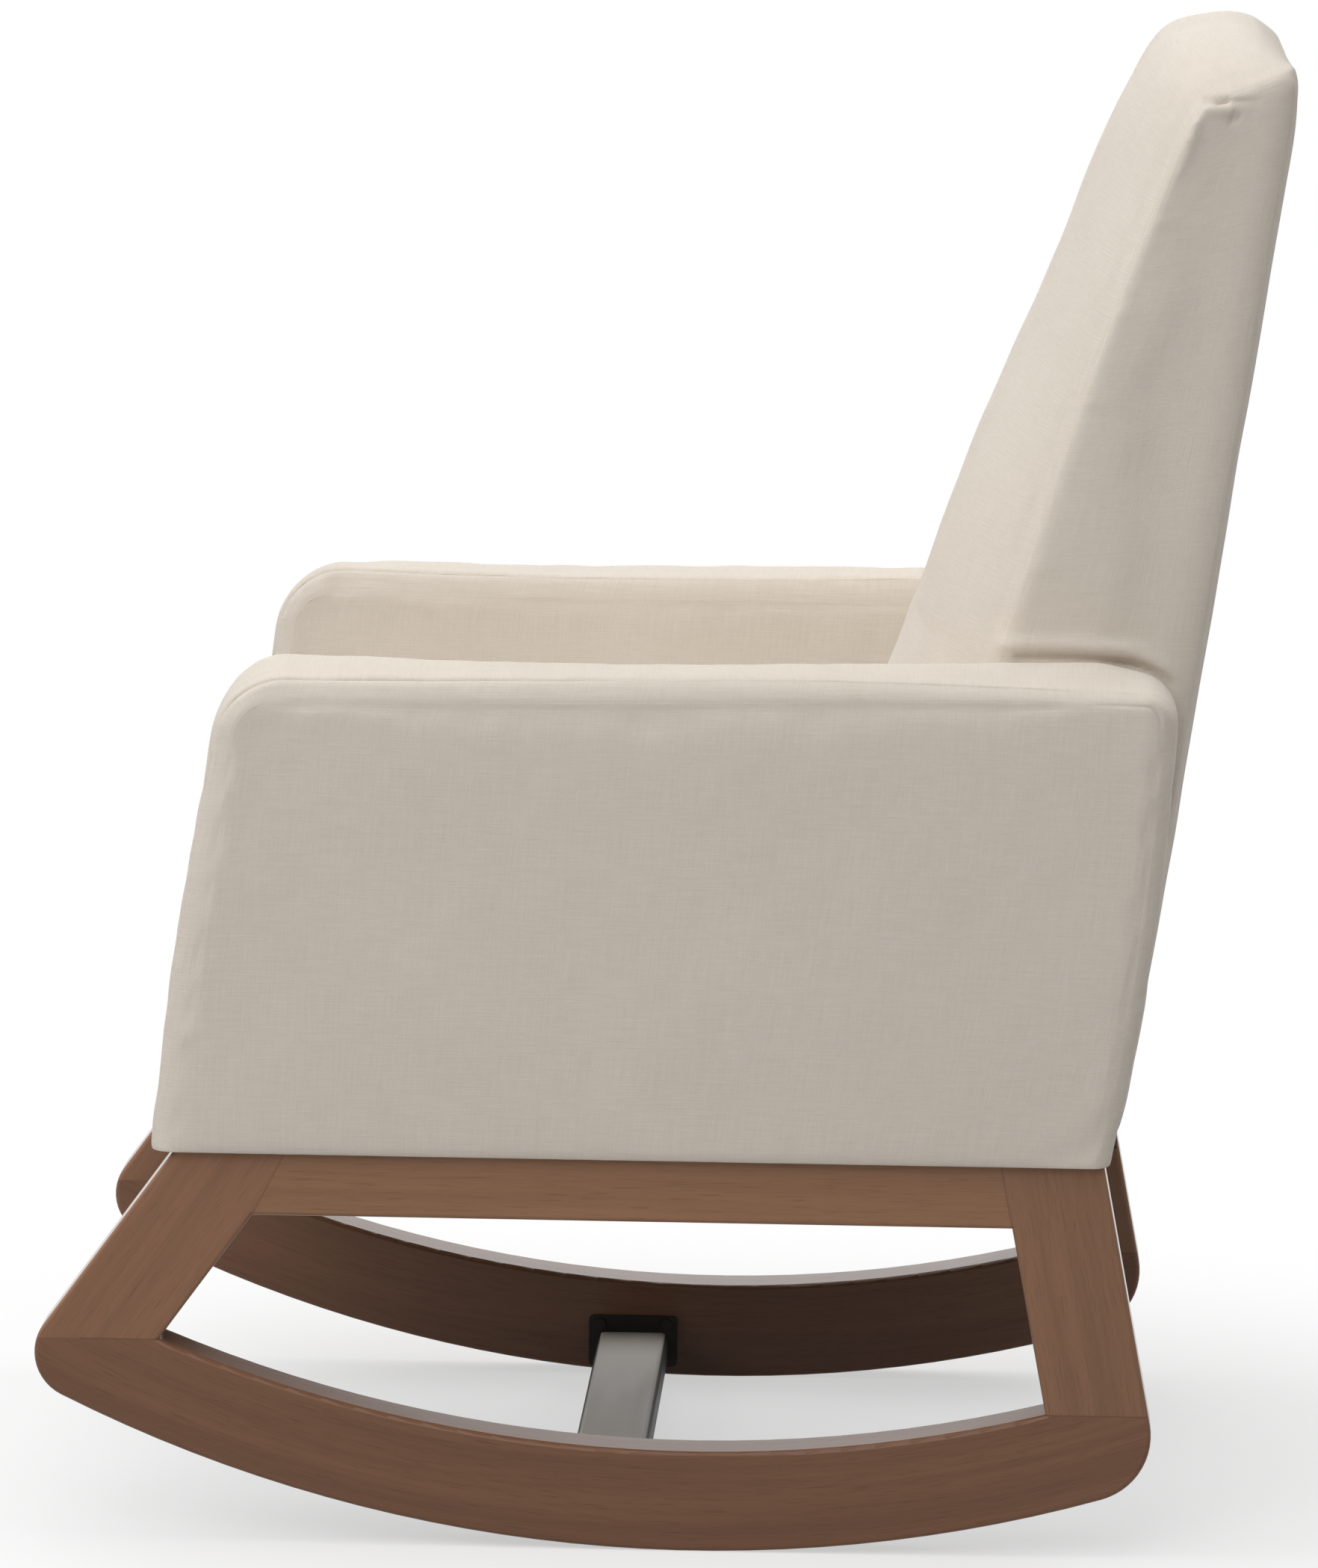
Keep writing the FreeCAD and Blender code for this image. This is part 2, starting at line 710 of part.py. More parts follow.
back_side_panel = slab(frame_outline(0.0), panel_in_x, panel_out_x)
pocket_shift = web_shift + nap
pocket_points = frame_outline(nap, below=OVERRUN)
for index in (3, 4):
    y, z = pocket_points[index]
    pocket_points[index] = (y - pocket_shift, z)
back_pocket = slab(pocket_points, -panel_out_x - nap, panel_out_x + nap)
back_pad = back_body(layer).cut(back_pocket)

# A thin cloth closes the underside of the seat box and of the back.
dust_half = seat_half - layer
dust_cover = block(
    -dust_half, dust_half, seat_front_y + layer, back_rear(rail_top_z) - layer,
    rail_top_z, rail_top_z + dust_cloth)
dust_room = block(
    -dust_half - nap, dust_half + nap, seat_front_y + layer - nap, back_rear(rail_top_z) - layer + nap,
    rail_top_z - OVERRUN, rail_top_z + dust_cloth)
back_cover = back_cover.cut(dust_room)
back_pad = back_pad.cut(dust_room)
back_side_panel = back_side_panel.cut(dust_room)


def rear_rail(z0, z1):
    """A rail of the back that follows its leaning rear face."""
    rear0 = back_rear(z0) - frame_rear_inset
    rear1 = back_rear(z1) - frame_rear_inset
    return slab([
        (rear0 - back_rail_thickness, z0), (rear0, z0), (rear1, z1), (rear1 - back_rail_thickness, z1)],
        -panel_in_x, panel_in_x)


def front_rail(z0, z1):
    """A rail of the back that follows the leaning front edges of its side panels."""
    front0 = back_frame_front(z0)
    front1 = back_frame_front(z1)
    return slab([
        (front0, z0), (front0 + back_rail_thickness, z0), (front1 + back_rail_thickness, z1), (front1, z1)],
        -panel_in_x, panel_in_x)


back_bottom_rail = rear_rail(seat_rail_z, seat_rail_z + back_rail_height)
back_top_rail = rear_rail(back_frame_top_z - back_rail_height, back_frame_top_z)
back_lumbar_rail = front_rail(frame_foot_z, frame_foot_z + back_rail_height)
head_rail_z = back_frame_top_z - back_rail_height
back_head_rail = front_rail(head_rail_z, back_frame_top_z).cut(back_top_rail)
straps = []
strap_low = frame_foot_z + back_rail_height
strap_step = (head_rail_z - strap_low) / webbing_count
for number in range(webbing_count):
    z0 = strap_low + (number + 0.5) * strap_step - webbing_width / 2
    z1 = z0 + webbing_width
    front0 = back_frame_front(z0)
    front1 = back_frame_front(z1)
    straps.append(slab([
        (front0 - web_shift, z0), (front0, z0), (front1, z1), (front1 - web_shift, z1)],
        -panel_out_x, panel_out_x))

# ------------------------------------------------------------------ bolts, washers and nuts
bolts = {"frame_bolts": [], "seat_bolts": [], "back_bolts": []}
washers = []
nuts = []


def bolt_set(group, face, axis, grip):
    """
    One bolt with its washer and T-nut. face is where the counterbore starts, axis the way the bolt
    goes in, and grip the distance from face to the far side of the wood that the nut bites on.
    Returns the solid that has to be drilled out of every piece that the bolt goes through.
    """
    seat = face + axis * counterbore_depth
    far = face + axis * grip
    head_base = seat - axis * (washer_thickness + bolt_head_height)
    head = rod(bolt_head_radius, head_base, axis, bolt_head_height)
    shank_start = seat - axis * washer_thickness
    shank_length = grip - counterbore_depth + washer_thickness + nut_flange + bolt_tail
    shank = rod(bolt_radius, shank_start, axis, shank_length)
    bolts[group].append(head.fuse(shank).removeSplitter())
    ring = rod(washer_radius, shank_start, axis, washer_thickness)
    washers.append(ring.cut(rod(bolt_radius + bolt_clearance, shank_start, axis, washer_thickness)))
    barrel_start = far - axis * nut_barrel_length
    barrel = rod(nut_barrel_radius, barrel_start, axis, nut_barrel_length)
    flange = rod(nut_flange_radius, far, axis, nut_flange)
    bore = rod(bolt_radius + nut_bore_clearance, barrel_start, axis, nut_barrel_length + nut_flange)
    nuts.append(barrel.fuse(flange).removeSplitter().cut(bore))
    tool = rod(washer_radius + counterbore_fit, face, axis, counterbore_depth)
    tool = tool.fuse(rod(bolt_radius + bolt_clearance, seat, axis, grip - counterbore_depth))
    barrel_room = rod(nut_barrel_radius + nut_bore_clearance, barrel_start, axis, nut_barrel_length)
    return tool.fuse(barrel_room)


foot_mid_z = rail_top_z + arm_foot_rail_height / 2
for number in range(frame_bolt_count):
    y = frame_bolt_first_y + number * (frame_bolt_last_y - frame_bolt_first_y) / (frame_bolt_count - 1)
    tool = bolt_set("frame_bolts", V(frame_mid_x, y, rail_bottom_z), Z_AXIS, arm_foot_top_z - rail_bottom_z)
    top_rail = top_rail.cut(tool)
    arm_cover = arm_cover.cut(tool)
    arm_foot_rail = arm_foot_rail.cut(tool)
seat_bolt_places = (
    front_rail_back + corner_block_leg + seat_bolt_margin, rear_rail_y - corner_block_leg - seat_bolt_margin)
for y in seat_bolt_places:
    tool = bolt_set("seat_bolts", V(board_out_x, y, foot_mid_z), -X_AXIS, board_out_x - side_rail_in)
    arm_foot_rail = arm_foot_rail.cut(tool)
    inner_board = inner_board.cut(tool)
    arm_pad = arm_pad.cut(tool)
    arm_cover = arm_cover.cut(tool)
    seat_side_rail = seat_side_rail.cut(tool)
for number in range(back_bolt_count):
    z = rail_top_z + back_bolt_rise + number * back_bolt_pitch
    y = arm_rear_post_front(z) + arm_rear_post_width / 2
    tool = bolt_set("back_bolts", V(board_out_x, y, z), -X_AXIS, board_out_x - panel_in_x)
    arm_rear_post = arm_rear_post.cut(tool)
    inner_board = inner_board.cut(tool)
    arm_pad = arm_pad.cut(tool)
    arm_cover = arm_cover.cut(tool)
    for far_side in (tool, mirrored(tool)):
        back_cover = back_cover.cut(far_side)
        back_pad = back_pad.cut(far_side)
    back_side_panel = back_side_panel.cut(tool)

# ------------------------------------------------------------------ the named pieces
add_pair("runner", runner)
add_pair("front_post", front_post)
add_pair("rear_post", rear_post)
add_pair("top_rail", top_rail)
add_pair("frame_dowels", *dowels)
add("stretcher_tube", tube)
add("stretcher_plates", plate, mirrored(plate))
add("stretcher_screws", *stretcher_screws, *[mirrored(s) for s in stretcher_screws])
add_pair("arm_foot_rail", arm_foot_rail)
add_pair("arm_top_rail", arm_top_rail)
add_pair("arm_front_post", arm_front_post)
add_pair("arm_rear_post", arm_rear_post)
add_pair("arm_inner_board", inner_board)
add_pair("arm_outer_board", outer_board)
add_pair("arm_padding", arm_pad)
add_pair("arm_cover", arm_cover)
add("seat_front_rail", seat_front_rail)
add("seat_rear_rail", seat_rear_rail)
add_pair("seat_side_rail", seat_side_rail)
add("seat_corner_blocks", *corner_blocks)
add("seat_springs", *springs)
add("spring_clips", *clips)
add("deck_padding", deck_pad)
add("apron_padding", apron_pad)
add("deck_cover", deck_cover)
add("dust_cover", dust_cover)
add_pair("back_side_panel", back_side_panel)
add("back_bottom_rail", back_bottom_rail)
add("back_top_rail", back_top_rail)
add("back_lumbar_rail", back_lumbar_rail)
add("back_head_rail", back_head_rail)
add("back_webbing", *straps)
add("back_padding", back_pad)
add("back_cover", back_cover)
add("cushion_core", cushion_core)
add("cushion_cover", cushion_cover)
for group, left_bolts in bolts.items():
    add(group, *left_bolts, *[mirrored(b) for b in left_bolts])
add("washers", *washers, *[mirrored(w) for w in washers])
add("t_nuts", *nuts, *[mirrored(n) for n in nuts])

# ------------------------------------------------------------------ centring and export
whole = FreeCAD.BoundBox()
for shape in parts.values():
    whole.add(shape.optimalBoundingBox(False, False))
centring = V(0, -(whole.YMin + whole.YMax) / 2, 0)
os.makedirs("parts", exist_ok=True)
for name, shape in parts.items():
    shape.translated(centring).exportStep(os.path.join("parts", name + ".step"))
print("moved along Y by", round(centring.y, 3))
print("size", round(whole.XLength, 1), round(whole.YLength, 1), round(whole.ZMax, 1))
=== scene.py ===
"""The looks of an upholstered rocking chair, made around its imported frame.

Inside the classes lengths are millimetres in the frame's axes: +Z is up, the chair faces -Y and +X is
the sitter's left. They become metres where a mesh is made.
"""

import json
import logging
import math
from dataclasses import dataclass, field
from enum import Enum

import bmesh
import bpy
import numpy as np
from mathutils import Matrix, Vector
from mathutils.bvhtree import BVHTree
from mathutils.kdtree import KDTree

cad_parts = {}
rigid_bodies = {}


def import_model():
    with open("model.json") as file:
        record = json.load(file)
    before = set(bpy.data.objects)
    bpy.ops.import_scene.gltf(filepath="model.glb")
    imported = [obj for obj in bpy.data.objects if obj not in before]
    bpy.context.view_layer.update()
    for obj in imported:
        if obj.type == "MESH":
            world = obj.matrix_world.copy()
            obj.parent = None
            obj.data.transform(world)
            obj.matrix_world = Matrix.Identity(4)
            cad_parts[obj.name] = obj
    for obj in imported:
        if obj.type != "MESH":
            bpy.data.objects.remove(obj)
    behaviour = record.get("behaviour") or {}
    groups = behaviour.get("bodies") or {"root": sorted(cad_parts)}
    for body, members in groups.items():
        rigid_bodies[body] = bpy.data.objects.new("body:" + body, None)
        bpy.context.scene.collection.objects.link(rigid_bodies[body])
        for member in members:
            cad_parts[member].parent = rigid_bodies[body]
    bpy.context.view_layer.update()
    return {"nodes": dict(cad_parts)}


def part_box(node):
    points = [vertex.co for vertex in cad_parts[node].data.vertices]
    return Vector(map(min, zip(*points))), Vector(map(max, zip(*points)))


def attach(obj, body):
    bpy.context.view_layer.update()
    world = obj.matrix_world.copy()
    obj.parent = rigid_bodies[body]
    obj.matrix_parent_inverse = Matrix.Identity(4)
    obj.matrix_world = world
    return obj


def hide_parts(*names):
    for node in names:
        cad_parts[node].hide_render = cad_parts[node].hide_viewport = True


for leftover in list(bpy.data.objects):
    bpy.data.objects.remove(leftover)
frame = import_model()

LOG = logging.getLogger("rocking_chair")
MM = 0.001
TINY = 1e-6
WELD_STEP = 0.0237  # points closer than this are one; the shift keeps round sizes off the cells' limits
WELD_SHIFT = 0.137
HELD_DEPTH = 0.08  # a seam deeper than this holds the cloth while its padding swells
LINE_MARK = 0.99  # a subdivided edge with this mark at both ends lies on a seam
SAMPLE_STEP = 0.6
EVENING_ROUNDS = 4
CALM_FADE = 60.0  # over how much height the evening out away from seams comes in
WAVE_START = 25.0  # how far from a seam the long waves come in
PUCKER_START = 2.0  # and the puckers
LAID_STEP = 2.0
NOISE = (0.3, 0.7)  # between these a noise value mostly lies
STITCHES = (4.2, 2.9, 0.32)  # from one to the next, length and half the thickness
STAPLES = (38.0, 10.5, 0.55)
Pair = tuple[float, float]
Triple = tuple[float, float, float]
Input = bpy.types.NodeSocket | bpy.types.ID | float | tuple


# ---------------------------------------------------------------- small tools
class Hand(Enum):
    """Which side of the chair a piece is on, as the sign of its x."""

    LEFT = 1
    RIGHT = -1


class Side(Enum):
    """The four borders of a cloth panel's grid."""

    FOOT = "first row"
    HEAD = "last row"
    START = "first column"
    END = "last column"


class Body(Enum):
    """The chair's moving bodies."""

    CHAIR = "chair"
    CUSHION = "cushion"


class Slot(Enum):
    """The record's material slots that the new pieces are listed with; nothing here reads them."""

    LINEN = "linen_fabric"
    DUST_CLOTH = "dust_cloth"
    ZINC = "zinc_steel"


def shares(line: np.ndarray) -> np.ndarray:
    """How far along a polyline each of its points lies.

    Args:
        line: The points, one per row.

    Returns:
        A number from 0 to 1 for each point, by length.
    """
    steps = np.linalg.norm(np.diff(line, axis=0), axis=1)
    reach = np.concatenate([[0.0], np.cumsum(steps)])
    return reach / reach[-1]


def between(start: Triple, end: Triple, count: int) -> np.ndarray:
    """A straight line of count steps from start to end."""
    return np.linspace(np.array(start, float), np.array(end, float), count + 1)


def chained(*lines: np.ndarray) -> np.ndarray:
    """Joins polylines that meet end to end, dropping the doubled points."""
    return np.vstack([lines[0]] + [line[1:] for line in lines[1:]])


def coons(foot: np.ndarray, head: np.ndarray, start: np.ndarray, end: np.ndarray) -> np.ndarray:
    """A grid of points spanned by four border lines.

    Args:
        foot: The first row, from the start border to the end border.
        head: The last row, in the same direction.
        start: The first column, from foot to head.
        end: The last column, from foot to head.

    Returns:
        The grid, as rows by columns by 3.
    """
    across = ((shares(foot) + shares(head)) / 2)[None, :, None]
    along = ((shares(start) + shares(end)) / 2)[:, None, None]
    ruled = (1 - along) * foot[None] + along * head[None]
    ruled = ruled + (1 - across) * start[:, None] + across * end[:, None]
    low = (1 - across) * foot[0] + across * foot[-1]
    high = (1 - across) * head[0] + across * head[-1]
    return ruled - (1 - along) * low - along * high


class SmoothLine:
    """A smooth curve through a few places, a natural cubic spline by chord length."""

    def __init__(self, *places: tuple[float, ...]) -> None:
        """Works out the curve's bends at its places."""
        self.places = np.array(places, float)
        steps = np.linalg.norm(np.diff(self.places, axis=0), axis=1)
        self.reach = np.concatenate([[0.0], np.cumsum(steps)])
        count = len(places)
        system = np.eye(count)
        wanted = np.zeros_like(self.places)
        for i in range(1, count - 1):
            before, after = steps[i - 1], steps[i]
            system[i, i - 1:i + 2] = before, 2 * (before + after), after
            rise = (self.places[i + 1] - self.places[i]) / after
            fall = (self.places[i] - self.places[i - 1]) / before
            wanted[i] = 6 * (rise - fall)
        self.bends = np.linalg.solve(system, wanted)

    def at(self, reach: np.ndarray) -> np.ndarray:
        """The points at the given lengths along the chord line."""
        reach = np.atleast_1d(reach)
        i = np.clip(np.searchsorted(self.reach, reach) - 1, 0, len(self.reach) - 2)
        span = (self.reach[i + 1] - self.reach[i])[:, None]
        before = (self.reach[i + 1] - reach)[:, None]
        after = (reach - self.reach[i])[:, None]
        value = (self.bends[i] * before ** 3 + self.bends[i + 1] * after ** 3) / (6 * span)
        value = value + (self.places[i] / span - self.bends[i] * span / 6) * before
        return value + (self.places[i + 1] / span - self.bends[i + 1] * span / 6) * after

    def run(self, first: int, last: int, steps: int | np.ndarray) -> np.ndarray:
        """Points from one place to another.

        Args:
            first: The number of the place to start at.
            last: The number of the place to end at.
            steps: How many even steps to take, or the shares of the length at which the points lie.

        Returns:
            The points.
        """
        wanted = np.linspace(0, 1, steps + 1) if isinstance(steps, int) else steps
        fine = self.at(np.linspace(self.reach[first], self.reach[last], 40 * len(wanted)))
        share = shares(fine)
        columns = [np.interp(wanted, share, fine[:, axis]) for axis in range(fine.shape[1])]
        return np.stack(columns, axis=1)

    def height_at(self, place: np.ndarray) -> np.ndarray:
        """The second coordinate where the first has the given values, for a line that runs forward."""
        line = self.run(0, len(self.places) - 1, 120)
        return np.interp(place, line[:, 0], line[:, 1])


def crowded(count: int, centre: float, spread: float, extra: float) -> np.ndarray:
    """Shares from 0 to 1 whose steps are closer round one place.

    Args:
        count: How many steps.
        centre: Where they are closest.
        spread: How wide the close stretch is.
        extra: How many times closer they are there, less one.

    Returns:
        The shares, one more than count.
    """
    fine = np.linspace(0, 1, 1001)
    density = 1 + extra * np.exp(-((fine - centre) / spread) ** 2)
    reach = np.concatenate([[0.0], np.cumsum((density[1:] + density[:-1]) / 2)])
    return np.interp(np.linspace(0, reach[-1], count + 1), reach, fine)


def in_plane(x: float, line: np.ndarray) -> np.ndarray:
    """Puts a line of (y, z) points in the plane at x."""
    return np.column_stack([np.full(len(line), x), line])


def crossing(across: np.ndarray, y: float, z: float) -> np.ndarray:
    """A line across the chair, level and square to it, with the given x."""
    return np.column_stack([across, np.full(len(across), y), np.full(len(across), z)])


def arc(centre: Pair, radius: float, turns: np.ndarray) -> np.ndarray:
    """The points of a circle at some angles in radians."""
    return np.stack([centre[0] + radius * np.cos(turns), centre[1] + radius * np.sin(turns)], axis=1)


def cells(grid: np.ndarray) -> np.ndarray:
    """The four corners of each cell of a grid, in order round it."""
    return np.stack([grid[:-1, :-1], grid[:-1, 1:], grid[1:, 1:], grid[1:, :-1]], axis=2)


def read(items: bpy.types.bpy_prop_collection, key: str, width: int = 1, kind: type = float) -> np.ndarray:
    """One property of all of a mesh's items, as a row for each item where it has several numbers."""
    found = np.zeros(len(items) * width, kind)
    items.foreach_get(key, found)
    return found.reshape(-1, width) if width > 1 else found


def placed(name: str, data: bpy.types.ID) -> bpy.types.Object:
    """Puts a mesh, a lamp or a camera in the scene."""
    made = bpy.data.objects.new(name, data)
    bpy.context.collection.objects.link(made)
    return made


def made_plain(carrier: bpy.types.Object) -> bpy.types.Mesh:
    """The mesh that an object's modifiers make of it; the object itself goes."""
    mesh = bpy.data.meshes.new_from_object(carrier.evaluated_get(bpy.context.evaluated_depsgraph_get()))
    bpy.data.objects.remove(carrier)
    return mesh


def face_outwards(mesh: bpy.types.Mesh) -> None:
    """Turns a closed mesh's faces outwards.

    Args:
        mesh: The mesh.

    Raises:
        ValueError: If it isn't closed.
    """
    work = bmesh.new()
    work.from_mesh(mesh)
    open_edges = [edge for edge in work.edges if len(edge.link_faces) != 2]
    if open_edges:
        where = [tuple(round(c / MM, 1) for c in edge.verts[0].co) for edge in open_edges[:6]]
        raise ValueError(f"{mesh.name} has {len(open_edges)} open edges, as at {where}")
    bmesh.ops.recalc_face_normals(work, faces=work.faces)
    if work.calc_volume(signed=True) < 0:
        bmesh.ops.reverse_faces(work, faces=work.faces)
    work.to_mesh(mesh)
    work.free()


@dataclass(frozen=True)
class Ripple:
    """Soft waves of about one length: a few plane waves in fixed random directions."""

    length: float
    height: float
    seed: int
    waves: int = 7

    def at(self, points: np.ndarray) -> np.ndarray:
        """The waves' height at each point."""
        chance = np.random.default_rng(self.seed)
        ways = chance.normal(size=(self.waves, 3))
        ways /= np.linalg.norm(ways, axis=1)[:, None]
        pace = 2 * math.pi / self.length * chance.uniform(0.7, 1.4, self.waves)
        turn = chance.uniform(0, 2 * math.pi, self.waves)
        phase = points @ (ways * pace[:, None]).T + turn
        return self.height * np.sin(phase).sum(axis=1) / math.sqrt(self.waves)


@dataclass(frozen=True)
class Fold:
    """A pinch or a pull in the cloth along a line, raised where its height is positive.

    Attributes:
        line: Where it runs.
        height: How far the cloth stands up.
        width: Half its width.
        fade_in: The share of the line over which it grows.
        fade_out: The share over which it dies out.
        across: How much of the distance across the chair counts.
    """

    line: tuple[Triple, ...]
    height: float
    width: float
    fade_in: float = 0.15
    fade_out: float = 0.5
    across: float = 1.0

    def at(self, points: np.ndarray) -> np.ndarray:
        """How far the fold lifts each point."""
        course = SmoothLine(*self.line)
        samples = course.run(0, len(self.line) - 1, 60)
        reach = 4 * self.width
        low, high = samples.min(axis=0) - reach, samples.max(axis=0) + reach
        near = np.all((points > low) & (points < high), axis=1)
        gaps = np.linalg.norm((points[near][:, None] - samples[None]) * (self.across, 1, 1), axis=2)
        nearest = gaps.argmin(axis=1)
        share = nearest / (len(samples) - 1)
        rise = np.clip(share / max(self.fade_in, TINY), 0, 1)
        fall = np.clip((1 - share) / max(self.fade_out, TINY), 0, 1)
        lift = np.zeros(len(points))
        gap = gaps[np.arange(len(nearest)), nearest]
        lift[near] = self.height * np.exp(-(gap / self.width) ** 2) * np.sqrt(rise * fall)
        return lift


@dataclass(frozen=True)
class Sag:
    """A place where the cover hangs or leans a little away from its true shape."""

    centre: Triple
    shift: Triple
    reach: float

    def at(self, points: np.ndarray) -> np.ndarray:
        """How far the sag moves each point."""
        share = np.exp(-(np.linalg.norm(points - np.array(self.centre), axis=1) / self.reach) ** 2)
        return share[:, None] * np.array(self.shift)


@dataclass(frozen=True)
class Trim:
    """How the cloth lies at and near its seams.

    Attributes:
        groove_depth: How deep the seam itself is.
        groove_width: Half its width.
        lip_height: How far the cloth stands up beside it.
        lip_place: How far from the seam that is.
        lip_width: Half the width of the lip.
        ease: How many times the points beside the seams are evened out, and how far from them.
        calm: Below which height the points away from the seams are evened out too, and how much.
        sags: Where the cover hangs a little away from its true shape.
        pucker: The small waves along the seam.
        pucker_reach: How far from the seam they die out.
        waves: The long soft waves of the whole cover.
    """

    groove_depth: float = 1.5
    groove_width: float = 1.2
    lip_height: float = 0.45
    lip_place: float = 4.5
    lip_width: float = 2.6
    ease: Pair = (0, 15.0)
    calm: Pair = (-1000.0, 0.0)
    sags: tuple[Sag, ...] = ()
    pucker: Ripple = Ripple(13.0, 0.28, 3)
    pucker_reach: float = 9.0
    waves: tuple[Ripple, ...] = (Ripple(150.0, 0.45, 5), Ripple(48.0, 0.14, 6))


# ---------------------------------------------------------------- materials
class Nodes:
    """A node tree, with short calls for the nodes that are used most."""

    def __init__(self, tree: bpy.types.NodeTree) -> None:
        """Starts with an empty tree."""
        self.tree = tree
        tree.nodes.clear()

    def node(self, kind: str, inputs: dict[str | int, Input] | None = None,
             **settings: str | bool) -> bpy.types.Node:
        """Adds a node.

        Args:
            kind: Blender's name of the node type.
            inputs: What goes into its sockets: a socket to join, or a value.
            settings: The node's own properties.

        Returns:
            The new node.
        """
        made = self.tree.nodes.new(kind)
        for key, value in settings.items():
            setattr(made, key, value)
        for key, value in (inputs or {}).items():
            self.feed(made.inputs[key], value)
        return made

    def out(self, kind: str, inputs: dict[str | int, Input] | None = None,
            **settings: str | bool) -> bpy.types.NodeSocket:
        """Adds a node and gives its first output."""
        return self.node(kind, inputs, **settings).outputs[0]

    def feed(self, socket: bpy.types.NodeSocket, value: Input) -> None:
        """Joins a socket to another, or sets its value."""
        if isinstance(value, bpy.types.NodeSocket):
            self.tree.links.new(value, socket)
        else:
            socket.default_value = value

    def parts(self, vector: bpy.types.NodeSocket) -> bpy.types.bpy_prop_collection:
        """A vector's three coordinates."""
        return self.node("ShaderNodeSeparateXYZ", {0: vector}).outputs

    def sum(self, operation: str, first: Input, second: Input = 0.0,
            clamp: bool = False) -> bpy.types.NodeSocket:
        """One step of arithmetic."""
        return self.out("ShaderNodeMath", {0: first, 1: second}, operation=operation, use_clamp=clamp)

    def plus(self, *values: Input) -> bpy.types.NodeSocket:
        """Adds up values."""
        total = values[0]
        for value in values[1:]:
            total = self.sum("ADD", total, value)
        return total

    def times(self, first: Input, second: Input) -> bpy.types.NodeSocket:
        """Multiplies two values."""
        return self.sum("MULTIPLY", first, second)

    def fit(self, value: Input, low: Input, high: Input, to_low: Input = 0.0, to_high: Input = 1.0,
            smooth: bool = False) -> bpy.types.NodeSocket:
        """Maps a value from one range to another."""
        return self.out("ShaderNodeMapRange", {
            "Value": value, "From Min": low, "From Max": high, "To Min": to_low, "To Max": to_high},
            interpolation_type="SMOOTHSTEP" if smooth else "LINEAR")

    def seen(self) -> bpy.types.NodeSocket:
        """1 for camera, glossy and transmission rays, and 0 for the light that falls on things."""
        path = self.node("ShaderNodeLightPath").outputs
        found = path["Is Camera Ray"]
        for name in ("Is Glossy Ray", "Is Transmission Ray"):
            found = self.sum("MAXIMUM", found, path[name])
        return found


class Recipe(Nodes):
    """A material's node tree."""

    def __init__(self, name: str) -> None:
        """Starts a material with one Principled shader."""
        self.material = bpy.data.materials.new(name)
        self.material.use_nodes = True
        super().__init__(self.material.node_tree)
        self.shader = self.node("ShaderNodeBsdfPrincipled")
        self.output = self.node("ShaderNodeOutputMaterial", {"Surface": self.shader.outputs[0]})

    def coordinates(self) -> bpy.types.NodeSocket:
        """The piece's own coordinates."""
        return self.node("ShaderNodeTexCoord").outputs["Object"]

    def stretch(self, vector: bpy.types.NodeSocket, scale: Triple) -> bpy.types.NodeSocket:
        """Scales coordinates."""
        return self.out("ShaderNodeMapping", {"Vector": vector, "Scale": scale})

    def noise(self, vector: bpy.types.NodeSocket, scale: float = 1.0, detail: float = 3.0,
              rough: float = 0.5) -> bpy.types.NodeSocket:
        """A noise value from 0 to 1."""
        return self.out("ShaderNodeTexNoise", {
            "Vector": vector, "Scale": scale, "Detail": detail, "Roughness": rough})

    def blend(self, factor: Input, first: Input, second: Input) -> bpy.types.NodeSocket:
        """Mixes two colours."""
        first, second = ((*c, 1.0) if isinstance(c, tuple) else c for c in (first, second))
        return self.node("ShaderNodeMix", {0: factor, 6: first, 7: second}, data_type="RGBA").outputs[2]

    def bump(self, height: bpy.types.NodeSocket, distance: float) -> bpy.types.NodeSocket:
        """A normal bent by a height in metres times distance."""
        return self.out("ShaderNodeBump", {"Height": height, "Distance": distance, "Strength": 1.0})

    def surface(self, colour: Input, roughness: Input, normal: bpy.types.NodeSocket | None = None,
                **fixed: float) -> bpy.types.Material:
        """Feeds the shader and finishes the material.

        Args:
            colour: The base colour, a socket.
            roughness: The roughness, a socket or a number.
            normal: The bumped normal.
            fixed: Other sockets of the shader that have one value all over.

        Returns:
            The material.
        """
        for key, value in (("Base Color", colour), ("Roughness", roughness), ("Normal", normal)):
            if value is not None:
                self.feed(self.shader.inputs[key], value)
        for key, value in fixed.items():
            self.shader.inputs[key.replace("_", " ").title().replace("Ior", "IOR")].default_value = value
        return self.material


